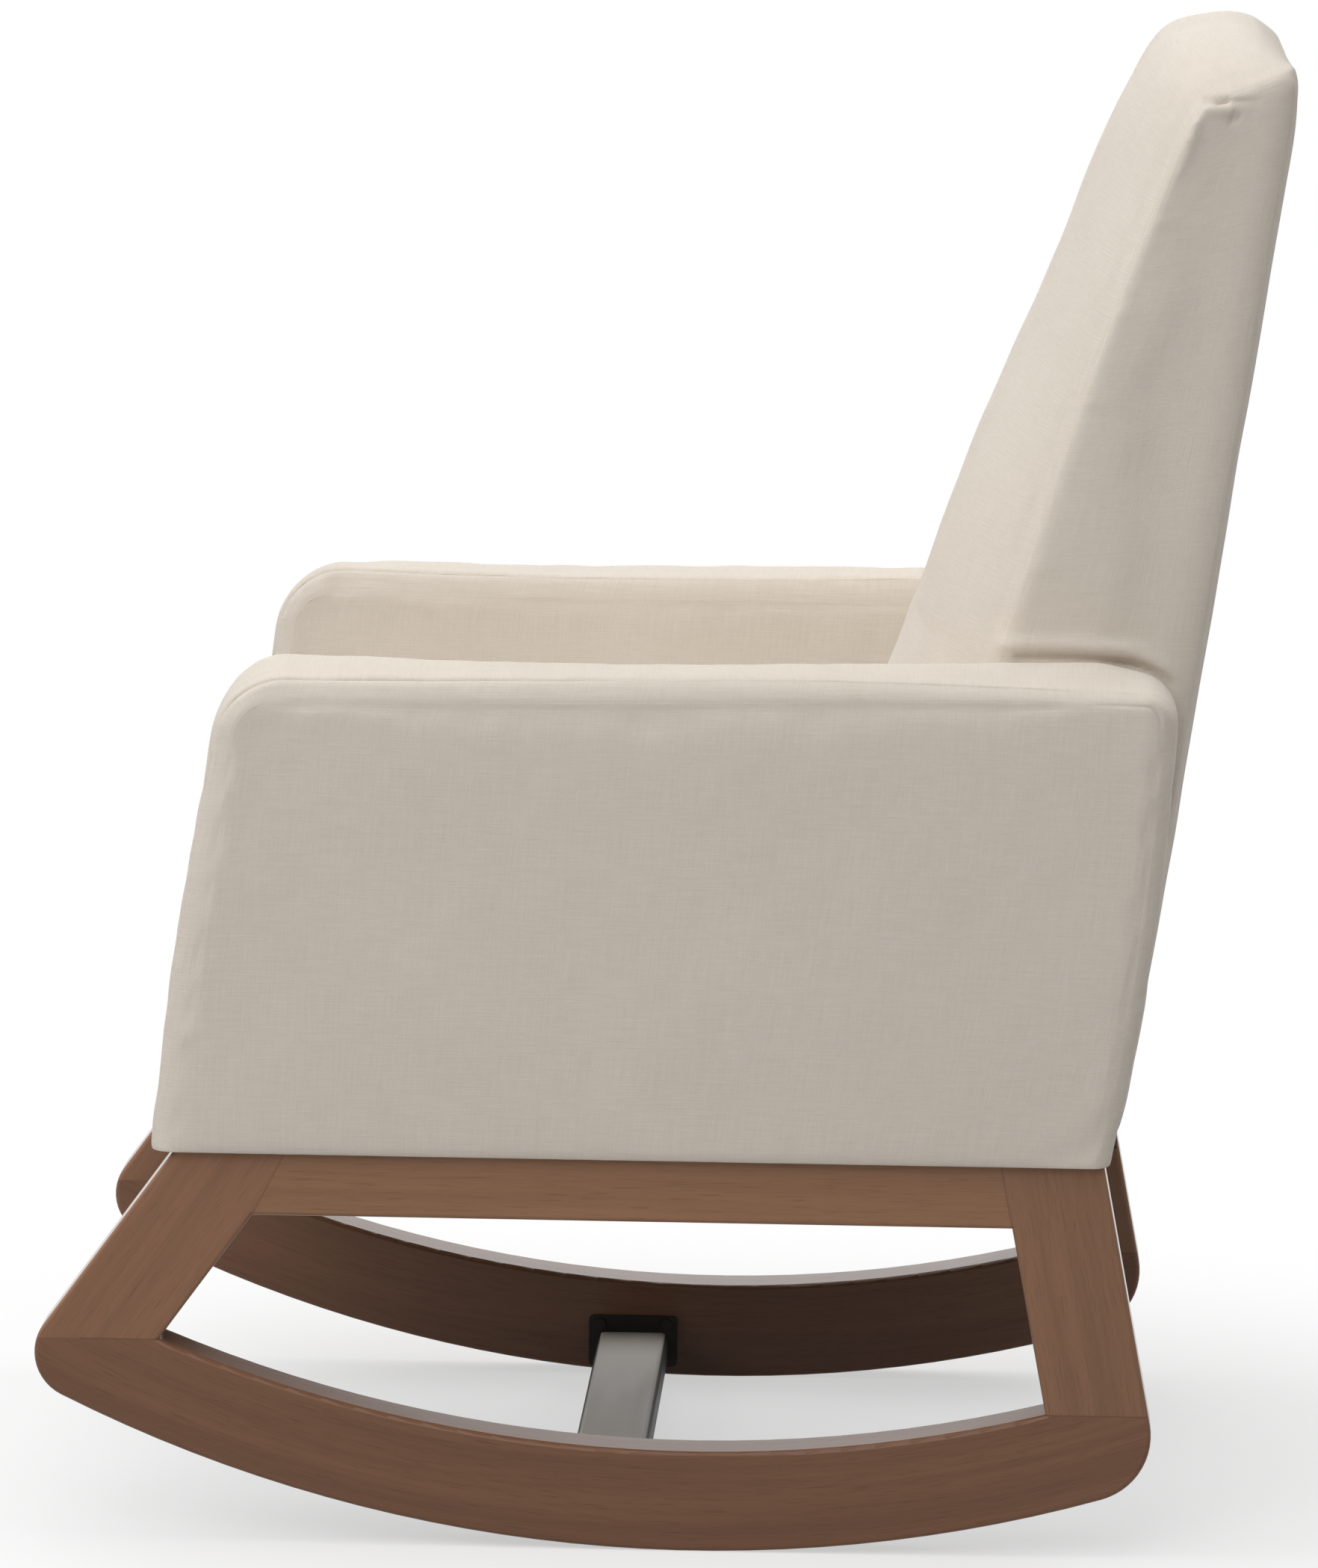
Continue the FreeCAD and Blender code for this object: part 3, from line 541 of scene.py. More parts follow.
@dataclass(frozen=True)
class LinenFinish:
    """A fine plain weave in undyed beige, woven on the panels' own UV maps.

    Attributes:
        light: The colour of the threads' crests.
        dark: The colour between them.
        thread: From one thread to the next, in metres.
        relief: How far the threads stand up.
        sheen: How much of the light their fuzz throws back at the edges.
        dip: How high a thread still stands where it dips under another, from 0 to 1.
    """

    name: str = "beige_linen"
    light: Triple = (0.800, 0.730, 0.643)
    dark: Triple = (0.700, 0.625, 0.538)
    thread: float = 0.00085
    relief: float = 0.00016
    sheen: float = 0.18
    dip: float = 0.35

    def make(self) -> bpy.types.Material:
        """Builds the material."""
        r = Recipe(self.name)
        uv = r.out("ShaderNodeUVMap", uv_map="weave")
        wobble = r.fit(r.noise(r.stretch(uv, (90.0, 90.0, 90.0)), 1.0, 2.0), *NOISE, -0.6, 0.6)
        flat = r.parts(uv)
        pace = math.pi / self.thread
        warp, weft = (r.sum("SINE", r.plus(r.times(flat[i], pace), wobble)) for i in range(2))
        cross = r.times(warp, weft)
        over = r.times(r.sum("ABSOLUTE", warp), r.fit(cross, -1, 1, self.dip, 1.0))
        under = r.times(r.sum("ABSOLUTE", weft), r.fit(cross, 1, -1, self.dip, 1.0))
        threads = r.sum("MAXIMUM", over, under)
        slubs = r.plus(*(r.noise(r.stretch(uv, scale), 1.0, 2.0, 0.6)
                         for scale in ((30.0, 900.0, 1.0), (900.0, 26.0, 1.0))))
        cloud = r.noise(r.coordinates(), 9.0, 4.0, 0.6)
        shade = r.plus(r.fit(threads, 0, 1, -0.16, 0.16), r.fit(slubs, 0.6, 1.4, 0.12, 0.88))
        shade = r.sum("ADD", shade, r.fit(cloud, *NOISE, -0.10, 0.10), clamp=True)
        colour = r.blend(shade, self.dark, self.light)
        height = r.plus(threads, r.fit(slubs, 0.5, 1.5, -0.9, 0.9))
        rough = r.fit(slubs, 0.5, 1.5, 0.86, 0.97)
        return r.surface(colour, rough, r.bump(height, self.relief), sheen_weight=self.sheen,
                         sheen_roughness=0.5, specular_ior_level=0.25)


@dataclass(frozen=True)
class JointPlane:
    """Where two members of a side frame meet, as a line in the side view: a point and its slope."""

    y: float
    z: float
    tilt: float
    reach: float = 70.0


@dataclass(frozen=True)
class WoodFinish:
    """Stained wood with its grain along a member or round a runner's circle.

    Attributes:
        pale: The colour of the light grain.
        deep: The colour of the dark grain.
        lean: How far the grain leans back from upright, in degrees.
        circle: The runner's centre in y and z, where the grain runs round it.
        joints: Where the member meets the next ones.
        joint_width: Between which distances from a joint's plane, in metres, its line fades out.
        joint_tone: How dark the line is.
        pore_tone: How dark the pores are.
        relief: How deep they are, in metres.
        coat: The roughness and the refraction of the varnish.
    """

    name: str
    pale: Triple = (0.327, 0.170, 0.097)
    deep: Triple = (0.218, 0.113, 0.064)
    lean: float = 0.0
    circle: Pair | None = None
    joints: tuple[JointPlane, ...] = ()
    joint_width: Pair = (0.0002, 0.0009)
    joint_tone: float = 0.28
    pore_tone: float = 0.30
    relief: float = 0.00006
    coat: Pair = (0.16, 1.25)

    def grain_space(self, r: Recipe) -> bpy.types.NodeSocket:
        """Coordinates whose Z runs along the grain, in metres."""
        own = r.coordinates()
        if self.circle is None:
            return r.out("ShaderNodeMapping", {"Vector": own, "Rotation": (math.radians(self.lean), 0, 0)})
        part = r.parts(own)
        y, z = (r.sum("SUBTRACT", part[1 + i], self.circle[i] * MM) for i in range(2))
        radius = r.sum("SQRT", r.plus(r.times(y, y), r.times(z, z)))
        angle = r.sum("ARCTAN2", y, r.times(z, -1.0))
        return r.out("ShaderNodeCombineXYZ", {0: part[0], 1: radius, 2: r.times(angle, self.circle[1] * MM)})

    def joint_line(self, r: Recipe) -> bpy.types.NodeSocket | None:
        """A thin dark line where this member meets the next, from short planes across it."""
        found = None
        part = r.parts(r.coordinates())
        for joint in self.joints:
            way = math.radians(joint.tilt)
            y = r.sum("SUBTRACT", part[1], joint.y * MM)
            z = r.sum("SUBTRACT", part[2], joint.z * MM)
            gap = r.plus(r.times(y, -math.sin(way)), r.times(z, math.cos(way)))
            along = r.plus(r.times(y, math.cos(way)), r.times(z, math.sin(way)))
            near = r.sum("LESS_THAN", r.sum("ABSOLUTE", along), joint.reach * MM)
            line = r.times(r.fit(r.sum("ABSOLUTE", gap), *self.joint_width, 1.0, 0.0, smooth=True), near)
            found = line if found is None else r.sum("MAXIMUM", found, line)
        return found

    def make(self) -> bpy.types.Material:
        """Builds the material."""
        r = Recipe(self.name)
        space = self.grain_space(r)
        sway = r.noise(r.stretch(space, (9.0, 9.0, 1.6)), 1.0, 2.0)
        drift = r.out("ShaderNodeCombineXYZ", {
            0: r.fit(sway, 0, 1, -0.012, 0.012), 1: r.fit(sway, 0, 1, 0.014, -0.014)})
        shifted = r.out("ShaderNodeVectorMath", {0: space, 1: drift}, operation="ADD")
        rings = r.noise(r.stretch(shifted, (55.0, 55.0, 1.3)), 1.0, 3.0, 0.55)
        bands = r.noise(r.stretch(shifted, (260.0, 260.0, 5.0)), 1.0, 4.0, 0.6)
        pores = r.noise(r.stretch(space, (1500.0, 1500.0, 38.0)), 1.0, 2.0, 0.5)
        pore = r.fit(pores, 0.30, 0.42, 1.0, 0.0, smooth=True)
        tone = r.sum("ADD", r.fit(rings, 0.32, 0.68, 0.20, 0.72), r.fit(bands, *NOISE, -0.13, 0.13),
                     clamp=True)
        colour = r.blend(tone, self.deep, self.pale)
        colour = r.blend(r.times(pore, self.pore_tone), colour, tuple(c * 0.45 for c in self.deep))
        joint = self.joint_line(r)
        if joint is not None:
            colour = r.blend(r.times(joint, self.joint_tone), colour, tuple(c * 0.3 for c in self.deep))
        wear = r.noise(r.coordinates(), 14.0, 4.0, 0.6)
        rough = r.plus(r.fit(wear, *NOISE, 0.55, 0.68), r.times(pore, 0.15))
        height = r.sum("SUBTRACT", r.times(bands, 0.4), pore)
        return r.surface(colour, rough, r.bump(height, self.relief), specular_ior_level=0.08,
                         coat_weight=1.0, coat_roughness=self.coat[0], coat_ior=self.coat[1])


@dataclass(frozen=True)
class MetalFinish:
    """Painted or unpainted steel: one colour with fine speckle and scuffed gloss, and a painted sheen on a
    piece's top where one is given.

    Attributes:
        relief: How deep the speckle is.
        grit: How fine it is.
        shine: The specular level.
        top: A painted sheen on the piece's top face, standing in for its glancing reflection: above which
            height, in metres, it starts, and its light colour.
    """

    name: str
    colour: Triple
    metallic: float
    roughness: float
    relief: float = 0.00003
    grit: float = 900.0
    shine: float = 0.5
    top: tuple[float, Triple] | None = None

    def make(self) -> bpy.types.Material:
        """Builds the material."""
        r = Recipe(self.name)
        own = r.coordinates()
        scuffs = r.noise(r.stretch(own, (6.0, 60.0, 60.0)), 1.0, 4.0, 0.65)
        scuffed = r.fit(scuffs, *NOISE)
        colour = r.blend(scuffed, tuple(c * 0.78 for c in self.colour), self.colour)
        rough = r.fit(scuffs, *NOISE, self.roughness - 0.06, self.roughness + 0.08)
        # painted sheen: above the given height the colour turns light grey, standing in for the top face's
        # glancing reflection
        if self.top is not None:
            edge, painted_sheen_colour = self.top
            upper = r.fit(r.parts(own)[2], edge - 0.0004, edge + 0.0002)
            colour = r.blend(upper, colour, r.blend(scuffed, tuple(c * 0.92 for c in painted_sheen_colour), painted_sheen_colour))
        grains = r.noise(own, self.grit, 2.0, 0.6)
        return r.surface(colour, rough, r.bump(grains, self.relief), metallic=self.metallic,
                         specular_ior_level=self.shine)


@dataclass(frozen=True)
class PlainFinish:
    """A hidden material, such as foam, plywood or webbing, with its own grain size."""

    name: str
    light: Triple
    dark: Triple
    scale: Triple
    roughness: float = 0.85
    relief: float = 0.0002

    def make(self) -> bpy.types.Material:
        """Builds the material."""
        r = Recipe(self.name)
        grain = r.noise(r.stretch(r.coordinates(), self.scale), 1.0, 4.0, 0.6)
        colour = r.blend(r.fit(grain, 0.32, 0.68), self.dark, self.light)
        return r.surface(colour, self.roughness, r.bump(grain, self.relief))


# ---------------------------------------------------------------- sewn covers
@dataclass
class Panel:
    """One cut piece of cloth, as a grid of points whose borders it shares with its neighbours.

    Attributes:
        grid: Rows by columns by 3, in millimetres.
        seams: How deep the seam is along each sewn border, from 0 to 1, as one number or one a point.
        creases: Inner columns that are creased like a seam, with their depth by row.
        swell: How far the stuffing may move this panel.
        still: True for a panel that lies against something hard or isn't seen.
    """

    name: str
    grid: np.ndarray
    seams: dict[Side, float | np.ndarray] = field(default_factory=dict)
    creases: dict[int, float | np.ndarray] = field(default_factory=dict)
    swell: float = 3.0
    still: bool = False
    index: np.ndarray | None = None

    @classmethod
    def hard(cls, name: str, grid: np.ndarray, swell: float = 0.2, depth: float = 0.3) -> "Panel":
        """A panel that lies against something hard, with the same seam all round."""
        return cls(name, grid, dict.fromkeys(Side, depth), swell=swell, still=True)

    def border(self, side: Side) -> np.ndarray:
        """The welded numbers of the points along one border."""
        picks = {Side.FOOT: self.index[0], Side.HEAD: self.index[-1],
                 Side.START: self.index[:, 0], Side.END: self.index[:, -1]}
        return picks[side]

    def rim(self) -> tuple[np.ndarray, np.ndarray, np.ndarray]:
        """The border cells in order round the panel.

        Returns:
            The (row, column) of each border point, the (row, column) of the inner point beside it,
            and for each whether it lies on a sewn border.
        """
        rows, columns = self.grid.shape[:2]
        up, over = np.arange(rows - 1), np.arange(columns - 1)
        row = np.concatenate([0 * over, up, 0 * over + rows - 1, rows - 1 - up])
        column = np.concatenate([over, 0 * up + columns - 1, columns - 1 - over, 0 * up])
        inner = np.stack([np.clip(row, 1, rows - 2), np.clip(column, 1, columns - 2)], axis=1)
        tests = {Side.FOOT: row == 0, Side.HEAD: row == rows - 1, Side.START: column == 0,
                 Side.END: column == columns - 1}
        sewn = np.any([tests[side] for side in self.seams], axis=0)
        return np.stack([row, column], axis=1), inner, sewn

    def flat_places(self) -> np.ndarray:
        """Where each point lies on the cut cloth, in metres: columns across, rows along."""
        across = np.linalg.norm(np.diff(self.grid, axis=1), axis=2).mean(axis=0)
        along = np.linalg.norm(np.diff(self.grid, axis=0), axis=2).mean(axis=1)
        u = np.concatenate([[0.0], np.cumsum(across)]) * MM
        v = np.concatenate([[0.0], np.cumsum(along)]) * MM
        return np.stack(np.meshgrid(u, v), axis=2)


class SewnCover:
    """A stuffed cover: panels welded at their borders, swollen by its padding, creased at its seams.

    Attributes:
        rings: How far from a border its extra rows lie.
    """

    rings: Triple = (0.8, 2.0, 4.2)

    def __init__(self, name: str, panels: list[Panel], trim: Trim, folds: tuple[Fold, ...] = (),
                 lowest: float = -1e9) -> None:
        """Welds the panels.

        Args:
            name: The piece's name.
            panels: All panels; together they close the cover.
            trim: How the cloth lies at its seams.
            folds: Single pinches and pulls.
            lowest: No point goes below this height.
        """
        self.name = name
        self.panels = panels
        self.trim = trim
        self.folds = folds
        self.lowest = lowest
        stacked = np.vstack([panel.grid.reshape(-1, 3) for panel in panels])
        keys = np.round(stacked / WELD_STEP + WELD_SHIFT).astype(np.int64)
        _, first, inverse = np.unique(keys, axis=0, return_index=True, return_inverse=True)
        inverse = inverse.ravel()
        self.points = stacked[first]
        count = len(self.points)
        self.line = np.zeros(count)
        self.depth = np.zeros(count)
        self.held = np.zeros(count, bool)
        self.swell = np.full(count, 1e3)
        start = 0
        for panel in panels:
            size = panel.grid.shape[0] * panel.grid.shape[1]
            panel.index = inverse[start:start + size].reshape(panel.grid.shape[:2])
            start += size
            np.minimum.at(self.swell, panel.index.ravel(), panel.swell)
            if panel.still:
                self.held[panel.index] = True
            marks = [(panel.border(side), depth) for side, depth in panel.seams.items()]
            marks += [(panel.index[:, column], depth) for column, depth in panel.creases.items()]
            for border, depth in marks:
                self.held[border[np.broadcast_to(depth, border.shape) > HELD_DEPTH]] = True
                self.line[border] = 1.0
                self.depth[border] = np.maximum(self.depth[border], depth)

    def coarse_faces(self) -> list[list[int]]:
        """The welded panels' faces, without the extra rows beside the seams."""
        faces = []
        for panel in self.panels:
            for cell in cells(panel.index).reshape(-1, 4).tolist():
                corners = list(dict.fromkeys(cell))
                if len(corners) > 2:
                    faces.append(corners)
        return faces

    def take(self, swollen: np.ndarray) -> None:
        """Moves the points towards their swollen places, evened out, no further than each panel's limit."""
        shift = swollen - self.points
        for panel in self.panels:
            grid = shift[panel.index]
            for _ in range(EVENING_ROUNDS):
                around = grid[:-2, 1:-1] + grid[2:, 1:-1] + grid[1:-1, :-2] + grid[1:-1, 2:]
                grid[1:-1, 1:-1] = grid[1:-1, 1:-1] / 2 + around / 8
            shift[panel.index] = grid
        length = np.linalg.norm(shift, axis=1)
        free = np.where(length > 1e-9, length, 1.0)
        capped = self.swell * np.tanh(length / np.maximum(self.swell, TINY))
        self.points = self.points + shift * (capped / free)[:, None]

    def _ringed(self) -> tuple[np.ndarray, list, np.ndarray, np.ndarray, np.ndarray]:
        """Adds close rows beside every border, so that the seams stay narrow.

        Returns:
            The points, the faces, the flat place of each face corner, the line marks and the depths.
        """
        points = [self.points]
        faces, corners = [], []
        total = len(self.points)
        for panel in self.panels:
            flat = panel.flat_places()
            outer, inner, sewn = panel.rim()
            base = panel.index[outer[:, 0], outer[:, 1]]
            inside = panel.index[inner[:, 0], inner[:, 1]]
            base_flat = flat[outer[:, 0], outer[:, 1]]
            inside_flat = flat[inner[:, 0], inner[:, 1]]
            step = self.points[inside] - self.points[base]
            length = np.maximum(np.linalg.norm(step, axis=1), TINY)
            layers = [(base, base_flat)]
            for number, reach in enumerate(self.rings):
                even = (number + 1) / (len(self.rings) + 1)
                share = np.where(sewn, np.minimum(reach / length, even), even)[:, None]
                points.append(self.points[base] + step * share)
                layers.append((np.arange(total, total + len(base)),
                               base_flat + (inside_flat - base_flat) * share))
                total += len(base)
            layers.append((inside, inside_flat))
            for (low, low_flat), (high, high_flat) in zip(layers, layers[1:]):
                after = np.roll(np.arange(len(base)), -1)
                quads = np.stack([low, low[after], high[after], high], axis=1)
                places = np.stack([low_flat, low_flat[after], high_flat[after], high_flat], axis=1)
                for quad, place in zip(quads.tolist(), places):
                    keep = [k for k in range(4) if quad[k] not in quad[:k]]
                    if len(keep) > 2:
                        faces.append([quad[k] for k in keep])
                        corners.append(place[keep])
            faces.extend(cells(panel.index[1:-1, 1:-1]).reshape(-1, 4).tolist())
            corners.extend(cells(flat[1:-1, 1:-1]).reshape(-1, 4, 2))
        extra = np.zeros(total - len(self.points))
        return (np.vstack(points), faces, np.vstack(corners), np.concatenate([self.line, extra]),
                np.concatenate([self.depth, extra]))

    def _subdivided(self) -> bpy.types.Mesh:
        """The closed mesh with its normals outwards and one level of subdivision.

        Returns:
            The mesh, with a UV map and the marks of its seams.
        """
        points, faces, flat, line, depth = self._ringed()
        mesh = bpy.data.meshes.new(self.name)
        mesh.from_pydata((points * MM).tolist(), [], faces)
        mesh.uv_layers.new(name="weave").data.foreach_set("uv", flat.ravel())
        for key, values in (("line", line), ("depth", depth)):
            mesh.attributes.new(key, "FLOAT", "POINT").data.foreach_set("value", values)
        face_outwards(mesh)
        coarse = placed(self.name + "_coarse", mesh)
        smooth = coarse.modifiers.new("smooth", "SUBSURF")
        smooth.levels = smooth.render_levels = 1
        return made_plain(coarse)

    def _seam_samples(self, mesh: bpy.types.Mesh, places: np.ndarray) -> tuple[np.ndarray, np.ndarray]:
        """Closely spaced points along all seams, and how deep the seam is at each."""
        line, depth = (read(mesh.attributes[key].data, "value") for key in ("line", "depth"))
        edges = read(mesh.edges, "vertices", 2, int)
        edges = edges[(line[edges] > LINE_MARK).all(axis=1)]
        samples, depths = [], []
        for first, last in edges:
            count = max(1, int(np.linalg.norm(places[last] - places[first]) / SAMPLE_STEP))
            share = (np.arange(count) / count)[:, None]
            samples.append(places[first] + (places[last] - places[first]) * share)
            depths.append(depth[first] + (depth[last] - depth[first]) * share[:, 0])
        return np.vstack(samples), np.concatenate(depths)

    def _nearest_seam(self, mesh: bpy.types.Mesh, places: np.ndarray) -> tuple[np.ndarray, ...]:
        """The seams' samples and, for each point, the nearest one's depth, its number and the distance."""
        samples, depths = self._seam_samples(mesh, places)
        tree = KDTree(len(samples))
        for number, place in enumerate(samples):
            tree.insert(place, number)
        tree.balance()
        found = [tree.find(place)[1:] for place in places]
        near = np.array([number for number, _ in found])
        gap = np.array([distance for _, distance in found])
        return samples, depths[near], near, gap

    def _rounded(self, mesh: bpy.types.Mesh, places: np.ndarray) -> np.ndarray:
        """Rounds the cloth over beside its seams, by evening out the points there."""
        times, reach = self.trim.ease
        gap = self._nearest_seam(mesh, places)[3]
        first, last = read(mesh.edges, "vertices", 2, int).T
        count = len(places)
        degree = np.bincount(first, minlength=count) + np.bincount(last, minlength=count)
        low, share = self.trim.calm
        calm = share * np.clip((low - places[:, 2]) / CALM_FADE, 0, 1)
        weight = np.maximum(np.clip(1 - gap / reach, 0, 1), calm) / 2
        for _ in range(times):
            for axis in range(3):
                line = places[:, axis]
                around = np.bincount(first, line[last], count) + np.bincount(last, line[first], count)
                places[:, axis] = line + weight * (around / degree - line)
        return places

    def _lift(self, mesh: bpy.types.Mesh, places: np.ndarray) -> np.ndarray:
        """How far each point moves out from the surface: seams, puckers, waves and folds."""
        samples, deep, near, gap = self._nearest_seam(mesh, places)
        trim = self.trim
        lift = -trim.groove_depth * np.exp(-(gap / trim.groove_width) ** 2) * deep
        lift += trim.lip_height * np.exp(-((gap - trim.lip_place) / trim.lip_width) ** 2) * deep
        start = 1 - np.exp(-(gap / PUCKER_START) ** 2)
        lift += trim.pucker.at(samples[near]) * np.exp(-gap / trim.pucker_reach) * np.sqrt(deep) * start
        for wave in trim.waves:
            lift += wave.at(places) * (1 - np.exp(-gap / WAVE_START))
        for fold in self.folds:
            lift += fold.at(places)
        return lift

    def finish(self, material: bpy.types.Material) -> bpy.types.Object:
        """Makes the final piece.

        Args:
            material: The cloth.

        Returns:
            The object, in the scene.
        """
        mesh = self._subdivided()
        mesh.name = self.name
        places = read(mesh.vertices, "co", 3) / MM
        for sag in self.trim.sags:
            places = places + sag.at(places)
        if self.trim.ease[0]:
            places = self._rounded(mesh, places)
            mesh.vertices.foreach_set("co", (places * MM).ravel())
            mesh.update()
        normals = read(mesh.vertex_normals, "vector", 3, np.float32)
        places += normals * self._lift(mesh, places)[:, None]
        places[:, 2] = np.maximum(places[:, 2], self.lowest)
        mesh.vertices.foreach_set("co", (places * MM).ravel())
        mesh.update()
        mesh.shade_smooth()
        mesh.materials.clear()
        mesh.materials.append(material)
        LOG.info("%s: %d faces", self.name, len(mesh.polygons))
        return placed(self.name, mesh)


@dataclass(frozen=True)
class Stuffing:
    """The padding that pushes the covers out, as a short cloth simulation.

    Attributes:
        pressure: How hard the padding pushes.
        last_frame: For how many frames.
        quality: How many steps each frame takes.
        tension: How stiff the cloth is along its threads.
        bending: How stiff it is against bending.
        slack: How much larger it is cut than the padding, as a share.
        shear_share: How stiff it is across its threads, as a share of the stiffness along them.
    """

    pressure: float = 4.0
    last_frame: int = 20
    quality: int = 5
    tension: float = 18.0
    bending: float = 0.6
    slack: float = 0.012
    shear_share: float = 1 / 3

    def fill(self, covers: list[SewnCover]) -> None:
        """Swells all covers at once, and leaves no simulation behind.

        Args:
            covers: The welded covers; their points move to where the padding pushes them.
        """
        scene = bpy.context.scene
        scene.frame_start, scene.frame_end = 1, self.last_frame
        dummies = [self._dummy(cover) for cover in covers]
        for number in range(1, self.last_frame + 1):
            scene.frame_set(number)
        graph = bpy.context.evaluated_depsgraph_get()
        for cover, dummy in zip(covers, dummies):
            before = cover.points.copy()
            cover.take(read(dummy.evaluated_get(graph).data.vertices, "co", 3) / MM)
            moved = np.linalg.norm(cover.points - before, axis=1)
            LOG.info("%s swells by %.1f mm at most, %.1f on average", cover.name, moved.max(), moved.mean())
        for dummy in dummies:
            bpy.data.objects.remove(dummy)
        scene.frame_set(1)

    def _dummy(self, cover: SewnCover) -> bpy.types.Object:
        """A stand-in mesh for one cover with the cloth settings on it."""
        mesh = bpy.data.meshes.new(cover.name + "_cloth")
        mesh.from_pydata((cover.points * MM).tolist(), [], cover.coarse_faces())
        face_outwards(mesh)
        dummy = placed(cover.name + "_cloth", mesh)
        pins = dummy.vertex_groups.new(name="held")
        pins.add(np.flatnonzero(cover.held).tolist(), 1.0, "REPLACE")
        cloth = dummy.modifiers.new("cloth", "CLOTH")
        cloth.point_cache.frame_start, cloth.point_cache.frame_end = 1, self.last_frame
        rules = cloth.settings
        rules.quality = self.quality
        rules.tension_stiffness = rules.compression_stiffness = self.tension
        rules.shear_stiffness = self.tension * self.shear_share
        rules.bending_stiffness = self.bending
        rules.shrink_min = -self.slack
        rules.vertex_group_mass = pins.name
        rules.use_pressure = True
        rules.uniform_pressure_force = self.pressure
        rules.effector_weights.gravity = 0.0
        cloth.collision_settings.use_collision = False
        cloth.collision_settings.use_self_collision = False
        return dummy


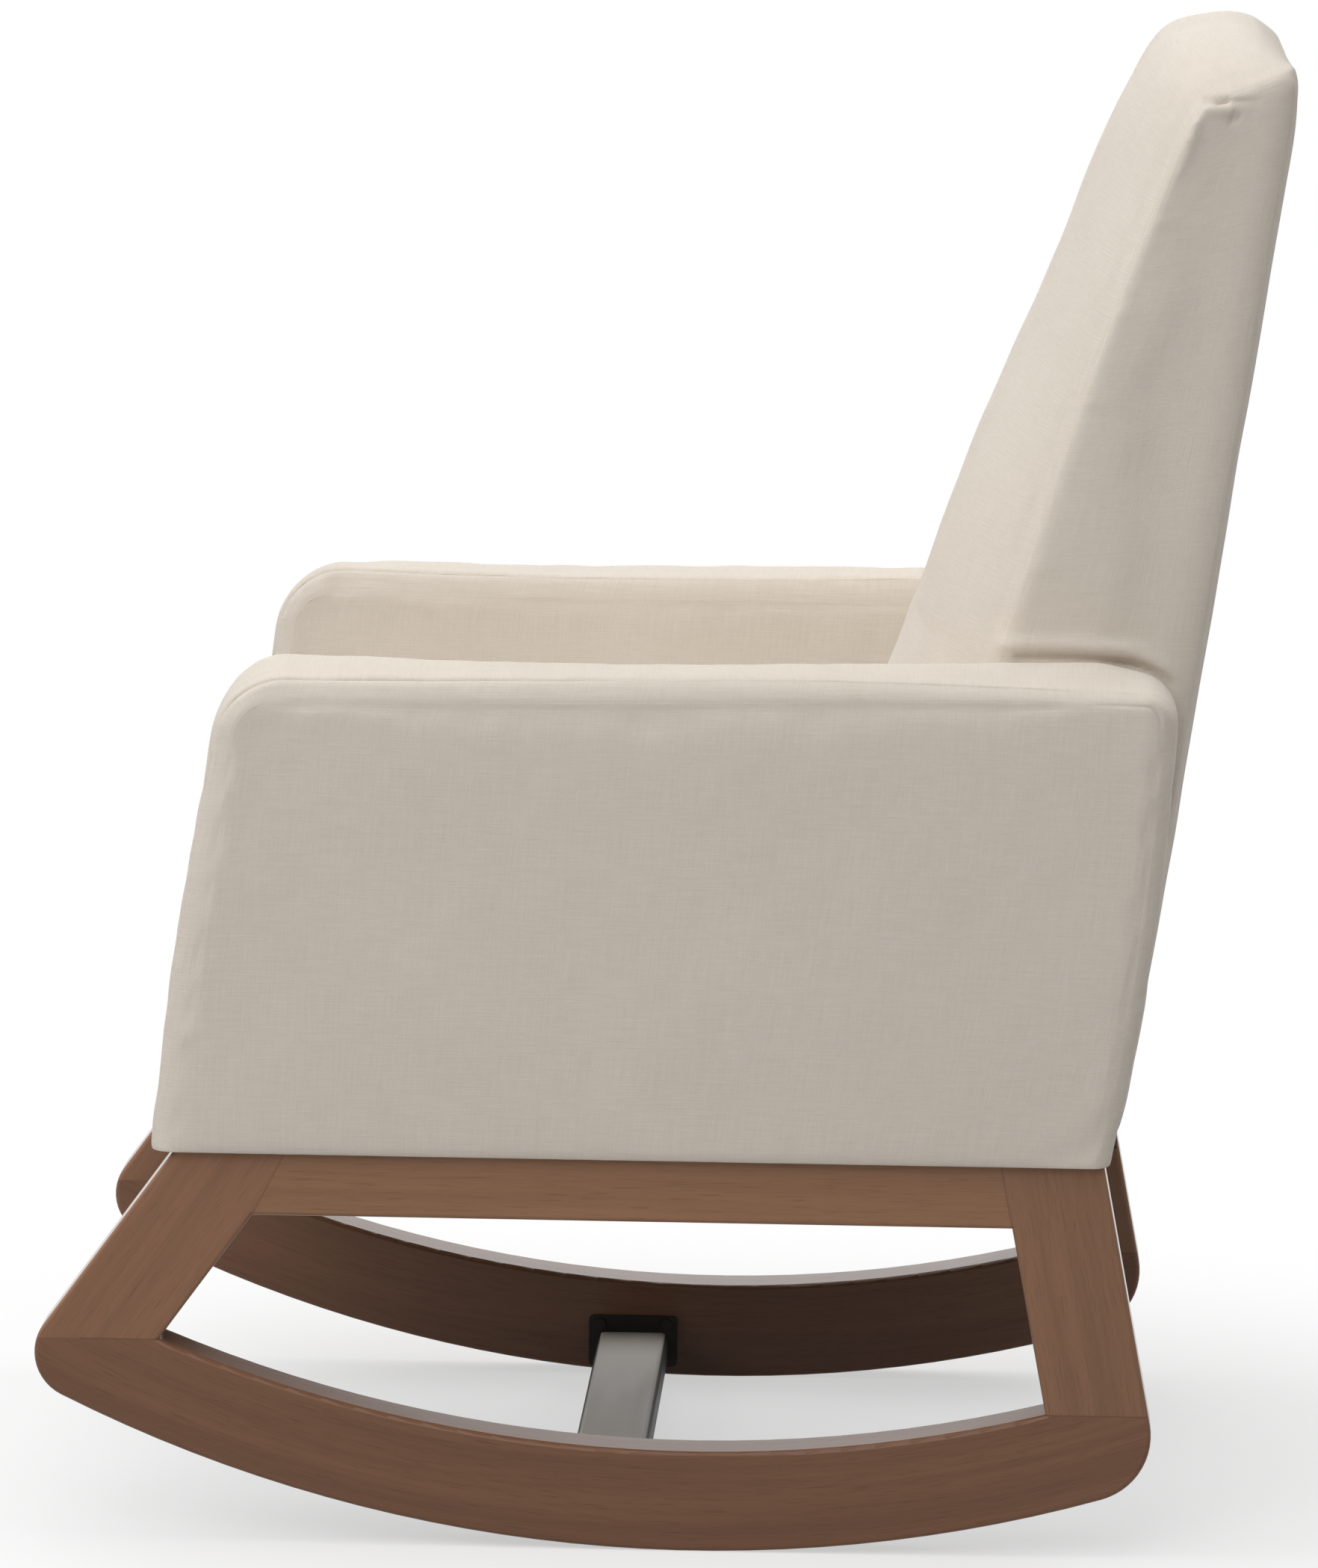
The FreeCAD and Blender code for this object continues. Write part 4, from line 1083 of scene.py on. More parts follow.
@dataclass
class BoxArm:
    """A padded box arm: an outer and an inner panel, and a band over its front, top and rear.

    Attributes:
        front_line: The (y, z) places of the front's line, from the foot up.
        front_slope: How far the front leans back at its upper end, in degrees.
        front_radius: The radius of its front upper corner.
        rear_lean: Three (y, z) places of its rear line.
        rear_radius: The radius of its rear upper corner.
        near_rise: How far the padding lifts the band's outer edge, by y.
        far_rise: How far it lifts the band's inner half, by y.
        outer_roll: How deep, high and long the outer panel's rounded edge is in x, z and y.
        inner_roll: The same of the inner panel's.
        roll_fall: The (y, lift) places that make the outer roll lower towards the rear.
        roll_inset: How far behind the front's line the outer roll ends.
        seam_radii: The radii of the rolls' ends at the front and at the rear upper corner.
        rise_reach: Below the top over what height the lifts come in.
        deck_length: About how long its top is, for the number of rows.
        flat_from: The share of the way in from the roll at which the band's outer half has met the far line.
        roll_turns: The angles, in degrees, of the band's columns over a rounded edge.
        crease_turn: The angle at which the seam runs.
        crease_depth: How deep the seam is, by the share of the way from the front foot to the rear one.
        inner_crease: How deep the inner seam is next to the outer one.
        pinch: How deep the outer panel's border is pinched at one place, where, and how widely.
        soft_seam: How deep the borders are that don't show as seams.
    """

    outer_x: float = 320.0
    inner_x: float = 240.2
    foot_z: float = 263.35
    top_z: float = 583.0
    front_line: tuple[Pair, ...] = (
        (-335.0, 263.35), (-335.2, 274.0), (-332.6, 300.0), (-322.4, 384.0), (-308.3, 474.0),
        (-298.2, 534.0))
    front_slope: float = 8.6
    front_radius: float = 52.0
    rear_lean: tuple[Pair, Pair, Pair] = ((298.8, 263.0), (326.4, 420.0), (338.0, 583.0))
    rear_radius: float = 22.0
    near_rise: tuple[Pair, ...] = (
        (-330.0, -2.5), (-190.0, -1.0), (-60.0, 1.0), (130.0, 2.8), (250.0, -1.2), (340.0, -4.0))
    far_rise: tuple[Pair, ...] = (
        (-330.0, 5.5), (-230.0, 5.4), (-180.0, 4.0), (60.0, 3.5), (180.0, 6.6), (255.0, 8.6),
        (290.0, 7.4), (315.0, 1.8), (340.0, -5.0))
    outer_roll: Triple = (17.0, 19.0, 11.0)
    inner_roll: Triple = (13.0, 14.0, 11.0)
    roll_fall: tuple[Pair, ...] = ((-340.0, 0.0), (-190.0, 1.0), (20.0, 5.0), (250.0, 10.5), (345.0, 9.0))
    roll_inset: float = 16.0
    seam_radii: Pair = (28.0, 10.0)
    rise_reach: float = 70.0
    deck_length: float = 545.0
    flat_from: float = 0.75
    cell: float = 7.0
    roll_turns: tuple[float, ...] = (0, 13, 26, 38, 47, 53, 56, 58, 60, 63, 68, 77, 90)
    crease_turn: float = 58.0
    crease_depth: tuple[Pair, ...] = (
        (0.0, 0.2), (0.18, 0.2), (0.25, 1.0), (0.36, 0.8), (0.50, 0.25), (0.60, 0.1), (0.78, 0.15),
        (1.0, 0.3))
    inner_crease: float = 0.8
    pinch: Triple = (0.4, 0.735, 0.028)
    soft_seam: float = 0.02

    def rear_y(self, z: np.ndarray | float) -> np.ndarray | float:
        """The arm's rear edge at a height, a quadratic through its three places."""
        (y0, z0), (y1, z1), (y2, z2) = self.rear_lean
        return ((z - z1) * (z - z2) / ((z0 - z1) * (z0 - z2)) * y0
                + (z - z0) * (z - z2) / ((z1 - z0) * (z1 - z2)) * y1
                + (z - z0) * (z - z1) / ((z2 - z0) * (z2 - z1)) * y2)

    def outline(self, front: float, top: float, rear: float, radii: Pair,
                counts: tuple[int, ...]) -> np.ndarray:
        """The arm's side view, drawn in on each side, from the front foot over the top to the rear.

        Args:
            front: How far it is drawn in at the front.
            top: How far at the top.
            rear: How far at the rear.
            radii: The front and the rear corner's radius.
            counts: The steps on the front leg, front corner, top, rear corner and rear leg.

        Returns:
            The (y, z) points.
        """
        lean = math.radians(self.front_slope)
        level = self.top_z - top
        centre_z = level - radii[0]
        last_y, last_z = self.front_line[-1]
        centre_y = last_y + (centre_z - last_z) * math.tan(lean) + (front + radii[0]) / math.cos(lean)
        turns = np.linspace(math.pi - lean, math.pi / 2, counts[1] + 1)
        corner = arc((centre_y, centre_z), radii[0], turns)
        inset = front / math.cos(lean)
        places = [(y + inset, z) for y, z in self.front_line if z < corner[0][1] - self.front_radius / 2]
        leg = SmoothLine(*places, tuple(corner[0])).run(0, len(places), counts[0])
        rear_z = level - radii[1]
        slope = math.atan((self.rear_y(rear_z + 1) - self.rear_y(rear_z - 1)) / 2)
        rear_centre = self.rear_y(rear_z) - rear - radii[1] / math.cos(slope)
        back = arc((rear_centre, rear_z), radii[1], np.linspace(math.pi / 2, -slope, counts[3] + 1))
        deck = np.linspace(corner[-1], back[0], counts[2] + 1)
        heights = np.linspace(back[-1][1], self.foot_z, counts[4] + 1)
        line = self.rear_y(heights) - rear
        miss = back[-1][0] - line[0]
        line = line + miss * (heights - self.foot_z) / (heights[0] - self.foot_z)
        return chained(leg, corner, deck, back, np.stack([line, heights], axis=1))

    def lifted(self, line: np.ndarray, rise: tuple[Pair, ...]) -> np.ndarray:
        """Lifts the upper part of an outline by an amount that changes along it."""
        share = np.clip((line[:, 1] - self.top_z) / self.rise_reach + 1, 0, 1)
        lift = SmoothLine(*rise).height_at(line[:, 0]) * share
        return line + np.stack([np.zeros(len(line)), lift], axis=1)

    def panels(self) -> list[Panel]:
        """Cuts the four panels of the left arm."""
        height = self.top_z - self.foot_z
        leg = round(height / self.cell)
        counts = (leg - 6, 12, round(self.deck_length / self.cell), 6, leg - 3)
        outer_path = self.lifted(self.outline(self.roll_inset, *self.outer_roll[1:], self.seam_radii, counts),
                                 self.roll_fall)
        inner_path = self.outline(self.inner_roll[1], *self.inner_roll[1:], self.seam_radii, counts)
        crest = self.outline(0.0, 0.0, 0.0, (self.front_radius, self.rear_radius), counts)
        near, far = self.lifted(crest, self.near_rise), self.lifted(crest, self.far_rise)
        turns = np.radians(np.array(self.roll_turns))

        def over_edge(x: float, depth: float, line: np.ndarray, path: np.ndarray, turn: float) -> np.ndarray:
            """One column of the band over a rounded edge."""
            return in_plane(x - depth * (1 - math.cos(turn)), line + (path - line) * (1 - math.sin(turn)))

        columns = [over_edge(self.outer_x, self.outer_roll[0], near, outer_path, turn) for turn in turns]
        left, right = self.outer_x - self.outer_roll[0], self.inner_x + self.inner_roll[0]
        strip = round((left - right) / self.cell)
        for share in np.linspace(0, 1, strip + 1)[1:]:
            ease = math.sin(min(1.0, share / self.flat_from) * math.pi / 2)
            columns.append(in_plane(left + (right - left) * share, near + (far - near) * ease))
        columns += [over_edge(self.inner_x, -self.inner_roll[0], far, inner_path, turn)
                    for turn in turns[-2::-1]]
        band = np.stack(columns, axis=1)
        rows = counts[0] + counts[1] // 2
        last = sum(counts) - counts[4] - counts[3] // 2
        sides = []
        for x, path in ((self.outer_x, outer_path), (self.inner_x, inner_path)):
            line = in_plane(x, path)
            foot = between(line[0], line[-1], last - rows)
            sides.append(coons(foot, line[rows:last + 1], line[:rows + 1], line[last:][::-1]))
        under = coons(sides[0][0], sides[1][0], band[0], band[-1])
        along = shares(crest)
        seam = np.interp(along, *zip(*self.crease_depth))
        depth, centre, spread = self.pinch
        edge = self.soft_seam + depth * np.exp(-((along - centre) / spread) ** 2)
        crease = self.roll_turns.index(self.crease_turn)
        creases = {crease: seam, band.shape[1] - 1 - crease: seam * self.inner_crease}
        side_seams = dict.fromkeys(Side, self.soft_seam)
        return [
            Panel("outer", sides[0], side_seams, swell=1.6),
            Panel("inner", sides[1], side_seams, swell=0.8),
            Panel("band", band, {Side.START: edge, Side.END: self.soft_seam, Side.FOOT: 0.3, Side.HEAD: 0.3},
                  creases, swell=1.2),
            Panel.hard("under", under, 0.1),
        ]

    def cover(self, hand: Hand) -> SewnCover:
        """One arm's cover.

        Args:
            hand: Which arm it is; the right one is mirrored and has waves of its own.

        Returns:
            The welded cover.
        """
        panels = self.panels()
        seed = 10 if hand is Hand.LEFT else 40
        for panel in panels:
            panel.grid = panel.grid * np.array([hand.value, 1.0, 1.0])
        trim = Trim(pucker=Ripple(14.0, 0.22, seed),
                    waves=(Ripple(170.0, 0.5, seed + 1), Ripple(52.0, 0.12, seed + 2)))
        return SewnCover(hand.name.lower() + "_arm_upholstery", panels, trim, lowest=263.1)


@dataclass
class TallBack:
    """The back: a crowned pad that runs over the top, side panels, a rear panel and a narrow foot.

    Attributes:
        line_z: The height where the rear line passes rear_foot_y.
        rear_lean: How far it leans back, in degrees.
        rear_roll: The radius of the rear edges.
        rear_ease: Above which height the rear line bends forward, and how much.
        foot_ease: Between which heights the rear line is drawn in at its foot, and how far.
        base_y: Where the foot starts, behind the pad.
        rise: How many rows the pad has in front, up to the corner.
        tuck_z: The height where the side is tucked in above the arm.
        low: How many rows the foot has.
        tuck: How many columns lie in front of the foot.
        deep: How many lie beside it.
        roll: How many go round the rear edge.
        seam: The (y, z) places of the pad's side seam.
        ear: The places between its upper end and the rear upper corner.
        crown: The places of the pad's middle line, from its foot over the top to the rear.
        crown_front: The number of the place that is level with the seam's upper end.
        bulge: How square the pad's section is, low down and over the top.
        square: The share of the climb at which it starts to grow square, over what share, and how late.
        crowd: Over what share of the climb its rows lie closer at the tuck, and how much closer.
        side_seam: How deep the seams beside the pad are.
        rear_seam: How deep those at the rear are.
        foot_seam: How deep the one above the foot is.
        top_seam: How deep the seam over the side panel is, by the number of the point.
        sags: Where the cloth hangs away from its true shape.
    """

    half: float = 239.6
    rear_roll: float = 7.0
    rear_foot_y: float = 305.4
    line_z: float = 263.0
    rear_lean: float = 8.55
    rear_ease: Pair = (925.0, 0.00123)
    foot_ease: Triple = (330.0, 430.0, 1.9)
    foot_z: float = 263.4
    pad_foot_z: float = 368.4
    head_z: float = 985.0
    base_y: float = 240.2
    cell: float = 7.2
    rise: int = 92
    tuck_z: float = 593.0
    low: int = 14
    tuck: int = 12
    deep: int = 9
    roll: int = 3
    seam: tuple[Pair, ...] = (
        (149.2, 368.4), (189.8, 500.0), (219.8, 600.0), (250.2, 700.0), (283.0, 800.0), (320.1, 900.0),
        (343.5, 959.0))
    ear: tuple[Pair, ...] = ((372.0, 969.5),)
    crown: tuple[Pair, ...] = (
        (87.2, 368.4), (127.5, 500.0), (163.5, 600.0), (198.5, 700.0), (243.0, 800.0), (281.0, 900.0),
        (317.0, 975.0), (330.0, 990.5), (348.0, 1001.5), (366.0, 1005.5), (384.0, 1003.5),
        (399.0, 995.5), (409.0, 983.5))
    crown_front: int = 6
    bulge: Pair = (2.1, 3.8)
    square: Triple = (0.80, 0.24, 1.5)
    crowd: Pair = (0.024, 2.5)
    side_seam: float = 0.12
    rear_seam: float = 0.05
    foot_seam: float = 0.5
    top_seam: tuple[Pair, ...] = ((0, 0.4), (9, 0.1), (14, 0.05), (25, 0.04))
    sags: tuple[Sag, ...] = (Sag((-239.6, 409.0, 983.0), (0.0, 1.0, -12.0), 45.0),
                             Sag((239.6, 409.0, 983.0), (0.0, 4.5, 1.5), 26.0))

    def rear_y(self, z: float) -> float:
        """The rear face's line, easing forward at its top."""
        start, ease = self.rear_ease
        low, high, draw = self.foot_ease
        line = self.rear_foot_y + (z - self.line_z) * math.tan(math.radians(self.rear_lean))
        share = min(1.0, max(0.0, (high - z) / (high - low)))
        return line - ease * max(0.0, z - start) ** 2 - draw * share ** 2 * (3 - 2 * share)

    def curl(self, z: float) -> np.ndarray:
        """The roll round the left rear edge at one height, from the side to the rear."""
        centre = (self.half - self.rear_roll, self.rear_y(z) - self.rear_roll)
        plan = arc(centre, self.rear_roll, np.linspace(0, math.pi / 2, self.roll + 1))
        return np.column_stack([plan, np.full(self.roll + 1, z)])

    def climb(self) -> np.ndarray:
        """How far up the pad its rows lie: closer where the side is tucked in above the arm."""
        centre = (self.tuck_z - self.pad_foot_z) / (self.seam[-1][1] - self.pad_foot_z)
        return crowded(self.rise, centre, *self.crowd)

    def side_edge(self) -> np.ndarray:
        """The pad's left border: up the front seam, back along the side panel's top, round the roll."""
        over = self.tuck + self.deep
        seam = SmoothLine(*self.seam).run(0, len(self.seam) - 1, self.climb())
        curl = self.curl(self.head_z)
        top = SmoothLine(self.seam[-1], *self.ear, (curl[0][1], self.head_z)).run(
            0, len(self.ear) + 1, over)
        return chained(in_plane(self.half, seam), in_plane(self.half, top), curl)

    def pad(self, edge: np.ndarray) -> np.ndarray:
        """The crowned pad's grid, from its foot over the top to the rear seam.

        Args:
            edge: Its left border.

        Returns:
            Rows up and over, columns from right to left.
        """
        crown = SmoothLine(*self.crown)
        front = crown.run(0, self.crown_front, self.climb())
        over = crown.run(self.crown_front, len(self.crown) - 1, len(edge) - 1 - self.rise)
        middle = in_plane(0.0, chained(front, over))
        across = np.linspace(-1, 1, 2 * round(self.half / self.cell) + 1)
        start, span, late = self.square
        climb = np.clip((np.arange(len(edge)) / self.rise - start) / span, 0, 1)
        power = self.bulge[0] + (self.bulge[1] - self.bulge[0]) * climb ** late
        swell = 1 - np.abs(across)[None, :] ** power[:, None]
        grid = edge[:, None] * (1 - swell[..., None]) + middle[:, None] * swell[..., None]
        grid[..., 0] = edge[:, :1] * across[None, :]
        return grid

    def side_panels(self, hand: Hand, edge: np.ndarray, rear: np.ndarray) -> list[Panel]:
        """The upper side panel and the foot's side panel.

        Args:
            hand: Which side they are on.
            edge: The pad's left border.
            rear: The rear seam on the left, from the foot to the top.

        Returns:
            Both panels.
        """
        flip = np.array([hand.value, 1.0, 1.0])
        low, high = self.foot_z, self.pad_foot_z
        tuck = between((self.half, self.seam[0][0], high), (self.half, self.base_y, high), self.tuck)
        base_top = chained(between(tuck[-1], self.curl(high)[0], self.deep), self.curl(high))
        base_foot = chained(
            between((self.half, self.base_y, low), self.curl(low)[0], self.deep), self.curl(low))
        base_front = between(base_foot[0], base_top[0], self.low)
        side = coons(chained(tuck, base_top), edge[self.rise:], edge[:self.rise + 1], rear[self.low:])
        base = coons(base_foot, base_top, base_front, rear[:self.low + 1])
        top_seam = np.interp(np.arange(len(edge) - self.rise), *zip(*self.top_seam))
        name = hand.name.lower()
        return [
            Panel(name + "_side", side * flip,
                  {Side.START: self.side_seam, Side.END: self.rear_seam, Side.FOOT: self.foot_seam,
                   Side.HEAD: top_seam},
                  swell=2.5),
            Panel.hard(name + "_foot", base * flip, 0.3, 0.4),
        ]

    def cover(self) -> SewnCover:
        """The back's cover."""
        edge = self.side_edge()
        pad = self.pad(edge)
        heights = np.concatenate([
            np.linspace(self.foot_z, self.pad_foot_z, self.low + 1)[:-1],
            self.pad_foot_z + (self.head_z - self.pad_foot_z) * self.climb()])
        seam_x = self.half - self.rear_roll
        rear = in_plane(seam_x, np.array([(self.rear_y(z), z) for z in heights]))
        mirror = np.array([-1.0, 1.0, 1.0])
        across = np.linspace(-1, 1, pad.shape[1])
        rear_foot = crossing(across * seam_x, rear[0][1], self.foot_z)
        rear_panel = coons(rear_foot, pad[-1], rear * mirror, rear)
        base_head = crossing(across * self.half, self.base_y, self.pad_foot_z)
        base_foot = crossing(across * self.half, self.base_y, self.foot_z)
        sides = {hand: self.side_panels(hand, edge, rear) for hand in Hand}
        left, right = sides[Hand.LEFT], sides[Hand.RIGHT]
        tuck = self.tuck
        under = coons(pad[0], base_head, right[0].grid[0][:tuck + 1], left[0].grid[0][:tuck + 1])
        base_front = coons(base_foot, base_head, right[1].grid[:, 0], left[1].grid[:, 0])
        bottom = coons(base_foot, rear_foot, right[1].grid[0], left[1].grid[0])
        seam_depth = np.concatenate([np.full(self.rise, self.side_seam), left[0].seams[Side.HEAD]])
        panels = left + right + [
            Panel("pad", pad, {Side.START: seam_depth, Side.END: seam_depth, Side.HEAD: self.rear_seam,
                               Side.FOOT: self.foot_seam}, swell=4.0),
            Panel("rear", rear_panel, dict.fromkeys(Side, self.rear_seam) | {Side.FOOT: 0.3}, swell=2.4),
            Panel.hard("under", under),
            Panel.hard("foot_front", base_front),
            Panel.hard("bottom", bottom),
        ]
        trim = Trim(ease=(220, 26.0), calm=(860.0, 0.12), sags=self.sags, pucker=Ripple(15.0, 0.3, 71),
                    pucker_reach=11.0, waves=(Ripple(190.0, 0.9, 72), Ripple(70.0, 0.25, 73)))
        return SewnCover("back_upholstery", panels, trim, self.folds(), lowest=263.2)

    def folds(self) -> tuple[Fold, ...]:
        """The pleats at the upper corners, the pulls along the side seams and the rolls at the foot."""
        made = []
        for sign in (1.0, -1.0):
            x = sign * self.half
            made += [
                Fold(((x, 347.0, 961.0), (x, 354.0, 961.5), (x, 366.0, 961.5)), -5.5, 2.9, 0.05, 0.5, 0.3),
                Fold(((x, 355.0, 961.5), (x, 370.0, 961.5), (x, 386.0, 961.0)), -1.8, 2.0, 0.1, 0.6, 0.25),
                Fold(((x, 346.0, 956.5), (x, 356.0, 956.0), (x, 366.0, 952.5)), 2.0, 4.2, 0.2, 0.3, 0.25),
                Fold(((x, 366.0, 951.0), (x, 373.0, 950.0)), -3.4, 2.8, 0.1, 0.3),
                Fold(((x, 327.0, 934.5), (x, 336.0, 934.0)), -1.8, 2.4, 0.1, 0.4),
                Fold(((x, 344.0, 950.0), (x, 339.0, 930.0), (x, 333.0, 910.0)), 1.3, 4.5, 0.1, 0.5),
                Fold(((x, 229.0, 591.0), (x, 262.0, 591.3), (x, 288.0, 590.2), (x, 308.0, 587.6),
                      (x, 324.0, 581.6), (x, 331.0, 577.0), (x, 337.5, 566.0)), -9.0, 2.7, 0.30, 0.12),
                Fold(((x, 214.0, 599.5), (x, 262.0, 600.5), (x, 290.0, 599.5), (x, 312.0, 595.5),
                      (x, 326.0, 588.5), (x, 336.0, 579.0), (x, 345.0, 564.0)), 3.2, 5.8, 0.15, 0.2),
            ]
            for z, reach in ((935.0, 16.0), (880.0, 22.0), (820.0, 18.0), (760.0, 20.0), (650.0, 24.0)):
                y = float(np.interp(z, [p[1] for p in self.seam], [p[0] for p in self.seam]))
                made.append(Fold(((x, y + 2, z), (x, y + reach, z + 3)), 0.8, 3.5, 0.1, 0.9))
        return tuple(made)


@dataclass
class SeatCushion:
    """The loose box cushion: crowned top and bottom, boxing all round.

    Attributes:
        corner: The radius of its corners, seen from above.
        crown: How far the bottom and the top stand up in their middles before it is filled.
    """

    half: float = 236.6
    front_y: float = -303.5
    rear_y: float = 83.5
    foot_z: float = 370.0
    head_z: float = 446.0
    corner: float = 24.0
    crown: Pair = (-1.2, 5.0)
    cell: float = 8.5
    boxing_rows: int = 9

    def plan(self, z: float) -> dict[Side, np.ndarray]:
        """The outline at one height as four lines that meet in the middle of the corners."""
        radius = self.corner
        x, front, rear = self.half - radius, self.front_y + radius, self.rear_y - radius
        centres = ((-x, front), (x, front), (x, rear), (-x, rear))

        def bend(number: int, start: float) -> np.ndarray:
            """Half a corner's arc of 45 degrees."""
            turns = np.radians(np.linspace(start, start + 45, 4))
            return np.column_stack([arc(centres[number], radius, turns), np.full(4, z)])

        def side(first: int, start: float) -> np.ndarray:
            """One side of the outline with the halves of its corners."""
            head, tail = bend(first, start), bend((first + 1) % 4, start + 45)
            steps = round(np.linalg.norm(tail[0] - head[-1]) / self.cell)
            return chained(head, between(head[-1], tail[0], steps), tail)

        return {Side.FOOT: side(0, 225), Side.END: side(1, 315), Side.HEAD: side(2, 45)[::-1],
                Side.START: side(3, 135)[::-1]}

    def cover(self) -> SewnCover:
        """The cushion's cover."""
        panels = []
        outlines = [self.plan(z) for z in np.linspace(self.foot_z, self.head_z, self.boxing_rows + 1)]
        for name, outline, crown in (("bottom", outlines[0], self.crown[0]),
                                     ("top", outlines[-1], self.crown[1])):
            grid = coons(*(outline[side] for side in (Side.FOOT, Side.HEAD, Side.START, Side.END)))
            rows = np.linspace(-1, 1, grid.shape[0])[:, None]
            columns = np.linspace(-1, 1, grid.shape[1])[None]
            grid[..., 2] += crown * (1 - rows ** 4) * (1 - columns ** 4)
            panels.append(Panel(name, grid, dict.fromkeys(Side, 1.0), swell=9.0 if name == "top" else 0.6))
        for side in Side:
            grid = np.stack([outline[side] for outline in outlines])
            swell = 3.0 if side is Side.FOOT else 1.0
            panels.append(Panel("boxing_" + side.name.lower(), grid, {Side.FOOT: 1.0, Side.HEAD: 1.0},
                                swell=swell))
        trim = Trim(pucker=Ripple(16.0, 0.4, 91), pucker_reach=14.0,
                    waves=(Ripple(160.0, 1.3, 92), Ripple(60.0, 0.3, 93)))
        return SewnCover("seat_cushion", panels, trim, lowest=368.5)


@dataclass
class SeatDeck:
    """The cloth over the seat box: an apron in front, a soft edge, and the deck under the cushion.

    Attributes:
        edge: The radius of the soft edge.
    """

    half: float = 239.3
    front_y: float = -317.3
    rear_y: float = 239.4
    foot_z: float = 264.4
    head_z: float = 367.6
    edge: float = 14.0
    cell: float = 11.0

    def cover(self) -> SewnCover:
        """The deck's cover."""
        high = round((self.head_z - self.foot_z) / self.cell)
        long = round((self.rear_y - self.front_y) / self.cell)
        wide = round(2 * self.half / self.cell)
        centre = (self.front_y + self.edge, self.head_z - self.edge)
        edge = arc(centre, self.edge, np.linspace(math.pi, math.pi / 2, 5))
        apron = np.linspace((self.front_y, self.foot_z), edge[0], high - 1)
        deck = np.linspace(edge[-1], (self.rear_y, self.head_z), long - 1)
        line = chained(apron, edge, deck)
        across = np.linspace(-self.half, self.half, wide + 1)
        main = np.stack([in_plane(x, line) for x in across], axis=1)
        rear = np.stack([between((x, self.rear_y, self.foot_z), (x, self.rear_y, self.head_z), high)
                         for x in across], axis=1)
        bottom = np.stack([between((x, self.front_y, self.foot_z), (x, self.rear_y, self.foot_z), long)
                           for x in across], axis=1)
        panels = [
            Panel("deck", main, dict.fromkeys(Side, 0.4), swell=1.2),
            Panel.hard("rear", rear, 0.1),
            Panel.hard("bottom", bottom, 0.1),
        ]
        for column in (0, -1):
            cap = coons(bottom[:, column], main[high:, column], main[:high + 1, column], rear[:, column])
            panels.append(Panel.hard(f"cap{column}", cap, 0.1))
        trim = Trim(groove_depth=1.0, waves=(Ripple(140.0, 0.35, 111), Ripple(50.0, 0.12, 112)))
        return SewnCover("seat_deck", panels, trim, lowest=264.0)


# ---------------------------------------------------------------- repeated pieces
class Repeater(Nodes):
    """Geometry Nodes that set a small thread or wire on a line at even steps."""

    def __init__(self, name: str, material: bpy.types.Material) -> None:
        """Builds the node tree with its named inputs."""
        super().__init__(bpy.data.node_groups.new(name, "GeometryNodeTree"))
        face = self.tree.interface
        face.new_socket("Geometry", in_out="INPUT", socket_type="NodeSocketGeometry")
        self.sockets = {
            label: face.new_socket(label, in_out="INPUT", socket_type="NodeSocketFloat").identifier
            for label in ("Pitch", "Length", "Radius")}
        face.new_socket("Geometry", in_out="OUTPUT", socket_type="NodeSocketGeometry")
        given = self.node("NodeGroupInput").outputs
        curve = self.out("GeometryNodeMeshToCurve", {"Mesh": given["Geometry"]})
        steps = self.out("GeometryNodeResampleCurve", {"Curve": curve, "Length": given["Pitch"]},
                         mode="LENGTH")
        turned = self.out("FunctionNodeAlignRotationToVector",
                          {"Vector": self.out("GeometryNodeInputTangent")}, axis="X")
        thread = self.out("GeometryNodeMeshIcoSphere", {"Radius": 1.0, "Subdivisions": 2})
        size = self.out("ShaderNodeCombineXYZ", {
            0: self.times(given["Length"], 0.5), 1: given["Radius"], 2: given["Radius"]})
        threads = self.out("GeometryNodeInstanceOnPoints", {
            "Points": steps, "Instance": thread, "Rotation": turned, "Scale": size})
        smooth = self.out("GeometryNodeSetShadeSmooth",
                          {"Geometry": self.out("GeometryNodeRealizeInstances", {0: threads})})
        self.node("NodeGroupOutput", {
            0: self.out("GeometryNodeSetMaterial", {"Geometry": smooth, "Material": material})})

    def along(self, name: str, lines: list[np.ndarray], pitch: float, length: float,
              radius: float) -> bpy.types.Object:
        """Sets the small pieces along some lines.

        Args:
            name: The new piece's name.
            lines: Polylines in millimetres.
            pitch: From one to the next, in millimetres.
            length: The length of each, in millimetres.
            radius: Half its thickness, in millimetres.

        Returns:
            One plain mesh object with all of them.
        """
        points, edges = [], []
        for line in lines:
            start = len(points)
            points.extend((line * MM).tolist())
            edges.extend((i, i + 1) for i in range(start, start + len(line) - 1))
        path = bpy.data.meshes.new(name + "_path")
        path.from_pydata(points, edges, [])
        carrier = placed(name + "_path", path)
        rows = carrier.modifiers.new("along", "NODES")
        rows.node_group = self.tree
        for label, value in (("Pitch", pitch), ("Length", length), ("Radius", radius)):
            rows[self.sockets[label]] = value * MM
        mesh = made_plain(carrier)
        mesh.name = name
        LOG.info("%s: %d faces", name, len(mesh.polygons))
        return placed(name, mesh)


